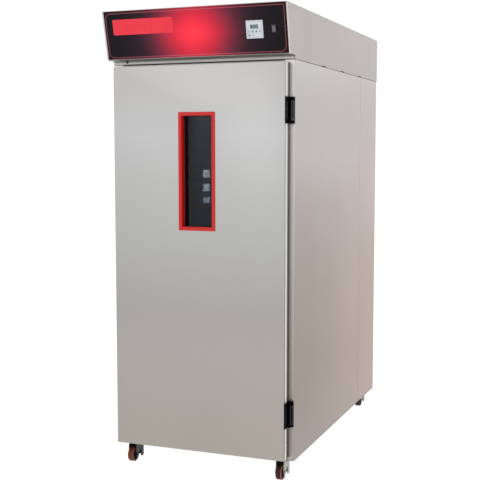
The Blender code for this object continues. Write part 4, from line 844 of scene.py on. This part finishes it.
# The left forks take a darker copy of the plating, painted as shade.
fork_zinc = {1: fork_finish("fork_zinc", (172, 171, 164), (140, 140, 134)),
             -1: fork_finish("fork_zinc_shaded", (50, 55, 54), (34, 39, 38))}
# Painted shade: the caster plates under the cabinet and a black sheet over each wheel stand for the shade
# there.
caster_shade_black = mottled("caster_shade_black", (26, 26, 26), (44, 44, 43), 200.0, 0.45, 0.2, metallic=0.7)
shade_sheet_loop = [(0.0420, -0.0161), (0.0430, -0.0161), (0.0430, 0.0161), (0.0420, 0.0161)]
downward = frame_of((0, 0, -1), (0, 1, 0))
for end, swivel_y in (("front", -0.5994), ("rear", 0.7106)):
    for hand, side in (("right", 1), ("left", -1)):
        corner = f"{end}_{hand}"
        hub = (side * caster_across, swivel_y - caster_trail, wheel_radius)
        fitted(make_piece(f"tread_{corner}", [spun(tread_profile, hub, rightward)], tread, 50.0),
               f"wheel_{corner}", "polyurethane", f"wheel_tread_{corner}")
        fitted(make_piece(f"core_{corner}", [spun(core_profile, hub, rightward)], core_black, 30.0),
               f"wheel_{corner}", "wheel_core", f"wheel_core_{corner}")
        dressed(f"caster_plate_{corner}", caster_shade_black, "cabinet", 0.0004)
        dressed(f"caster_fork_{corner}", fork_zinc[side], f"swivel_{corner}", 0.0005)
        fitted(make_piece(f"wheel_shade_sheet_{corner}", [arc_shell(shade_sheet_loop, -14, 112, hub, rightward)],
                          caster_shade_black), f"swivel_{corner}", "zinc")
        bolts = [screw_head(0.0050, 0.0036, (side * caster_across + x, swivel_y + y, plate_underside),
                            downward) for x in (-0.031, 0.031) for y in (-0.024, 0.024)]
        fitted(make_piece(f"plate_bolts_{corner}", bolts, zinc), "cabinet", "zinc")

# Chamber
# A steel liner with welded corners. Pressed racks of 20 ledges stand along both side walls on upright
# straps, with three pale glowing patches on the left one as painted light. A sheet with slots and a guarded
# fan hole parts the chamber from the climate unit.

liner_steel = brushed_steel("liner_steel", even(160), (300.0, 300.0, 5.0), 0.42)
dressed("inner_liner", liner_steel, "cabinet")
rack_steel = brushed_steel("rack_steel", even(168), (5.0, 300.0, 300.0), 0.38)
strap_places = [-0.5400, -0.1234, 0.2930]
strap_foot, strap_top, strap_out = 0.146, 1.568, -0.3631
for hand, side in (("right", 1), ("left", -1)):
    dressed(f"tray_rack_{hand}", rack_steel, "cabinet", 0.0003)
    wall_face = frame_of((-side, 0, 0), (0, 0, 1))
    straps = [bar_between((-side * y, strap_foot, strap_out), (-side * y, strap_top, strap_out),
                          0.024, 0.0008, wall_face) for y in strap_places]
    fitted(make_piece(f"rack_straps_{hand}", straps, rack_steel), "cabinet", "liner_steel")
    rivets = [screw_head(0.0035, 0.0012, (side * 0.3628, y, z), wall_face)
              for y in strap_places for z in (0.158, 0.508, 0.858, 1.208, 1.560)]
    fitted(make_piece(f"rack_rivets_{hand}", rivets, zinc), "cabinet", "liner_steel")
dressed("air_partition", liner_steel, "cabinet")
fan_height = 1.420
wire_loop = [(0.0013 * math.cos(a), 0.0013 * math.sin(a)) for a in np.linspace(0, 2 * math.pi, 9)]
guard_middle = (0.0, 0.3750, fan_height)
guard = [spun([(radius + across, along) for across, along in wire_loop], guard_middle, upright, 56)
         for radius in (0.022, 0.040, 0.058, 0.076, 0.094)]
for a in np.radians([30, 90, 150, 210, 270, 330]):
    inner, outer = ((radius * math.cos(a), fan_height + radius * math.sin(a), -0.3733)
                    for radius in (0.022, 0.099))
    guard.append(bar_between(inner, outer, 0.0024, 0.0016, upright))
fitted(make_piece("fan_guard", guard, zinc), "cabinet", "zinc")
partition_screws = [screw_head(0.0040, 0.0016, (x, 0.3767, z), upright)
                    for x in (-0.345, 0.0, 0.345) for z in (0.158, 1.700)]
fitted(make_piece("partition_screws", partition_screws, zinc), "cabinet", "zinc")
# Painted light: three pale patches that glow on the left rack, though no lamp lights them, stand for light
# falling there.
patch_glow = Finish("rack_light_glow", emission_strength=1.6)
glow_cloud = patch_glow.noise((60, 60, 60), 3.0)
patch_glow.feed(base_color=patch_glow.mix(glow_cloud, linear(150, 152, 148), linear(226, 228, 222)),
                 emission_color=patch_glow.mix(soft_step(glow_cloud, 0.5, 0.22), linear(150, 146, 122),
                                                linear(255, 250, 212)), roughness=0.4 + glow_cloud * 0.1)
glow_places = [(1.1380, 0.030), (1.2040, 0.038), (1.2756, 0.040)]
glow_bars = [bar_between((0.2000, z, -0.3622), (0.2800, z, -0.3622), tall, 0.0010, rightward) for z, tall in glow_places]
fitted(make_piece("rack_glow_patches", glow_bars, patch_glow), "cabinet", "liner_steel")

# Climate unit
# Behind the partition: a motor on its plate that turns a moulded fan, an evaporator of aluminium fins on
# copper tubes, a sheathed heater bent like a hairpin, and a steel water pan on the chamber's floor.

painted(mottled("motor_enamel", (52, 54, 58), (72, 75, 79), 140.0, 0.42, 0.18, 0.0001, metallic=0.5),
        "fan_motor")
painted(mottled("fan_plastic", (30, 31, 33), (44, 46, 48), 180.0, 0.38, 0.14, 0.00005), "circulation_fan")


def finned(name, light, dark, pitch):
    """Aluminium whose tone follows the sine of the way along the stack, one turn for each fin."""
    fins = Finish(name, metallic=1.0)
    wave = (fins.axes()[0] * (2 * math.pi / pitch)).math("SINE") * 0.5 + 0.5
    grain = fins.noise((400, 400, 400))
    fins.feed(base_color=fins.mix(wave * 0.7 + grain * 0.3, linear(*light), linear(*dark)),
              roughness=0.3 + grain * 0.15)
    fins.bump(wave, 0.0004)
    return fins


painted(finned("evaporator_fins", (206, 208, 208), (150, 153, 155), 0.0025), "evaporator_coil")
painted(mottled("heater_sheath", (96, 84, 74), (132, 112, 92), 120.0, 0.35, 0.2, 0.00004, metallic=0.9),
        "heater_element")
painted(brushed_steel("pan_steel", even(186), (6.0, 300.0, 300.0), 0.3), "humidifier_pan")

# Equipment in the head
# The compressor and the condenser of the cooling circuit and a folded box for the controls stand on the
# roof under the cover. A black nylon gland in the back sheet is where a supply lead would come in.

painted(mottled("compressor_enamel", (20, 21, 22), (36, 37, 38), 60.0, 0.3, 0.2, 0.0001), "compressor")
painted(finned("condenser_fins", (178, 180, 181), (96, 98, 100), 0.0030), "condenser_coil")
painted(mottled("galvanised_sheet", (150, 154, 156), (186, 190, 192), 45.0, 0.4, 0.15, 0.00002, metallic=0.9),
        "electrical_board")
dressed("cable_gland", mottled("gland_nylon", (14, 14, 15), (28, 28, 30), 260.0, 0.44, 0.12, 0.00005),
        "cabinet", 0.0004)

# Foam
# Polyurethane foam poured between the sheets of the body and of the door. It is cream coloured and fine
# celled, and the sheets hide all of it.

foam = mottled("cream_foam", (206, 190, 146), (226, 212, 172), 90.0, 0.8, 0.15, 0.0006)
painted(foam, "insulation", "door_foam")
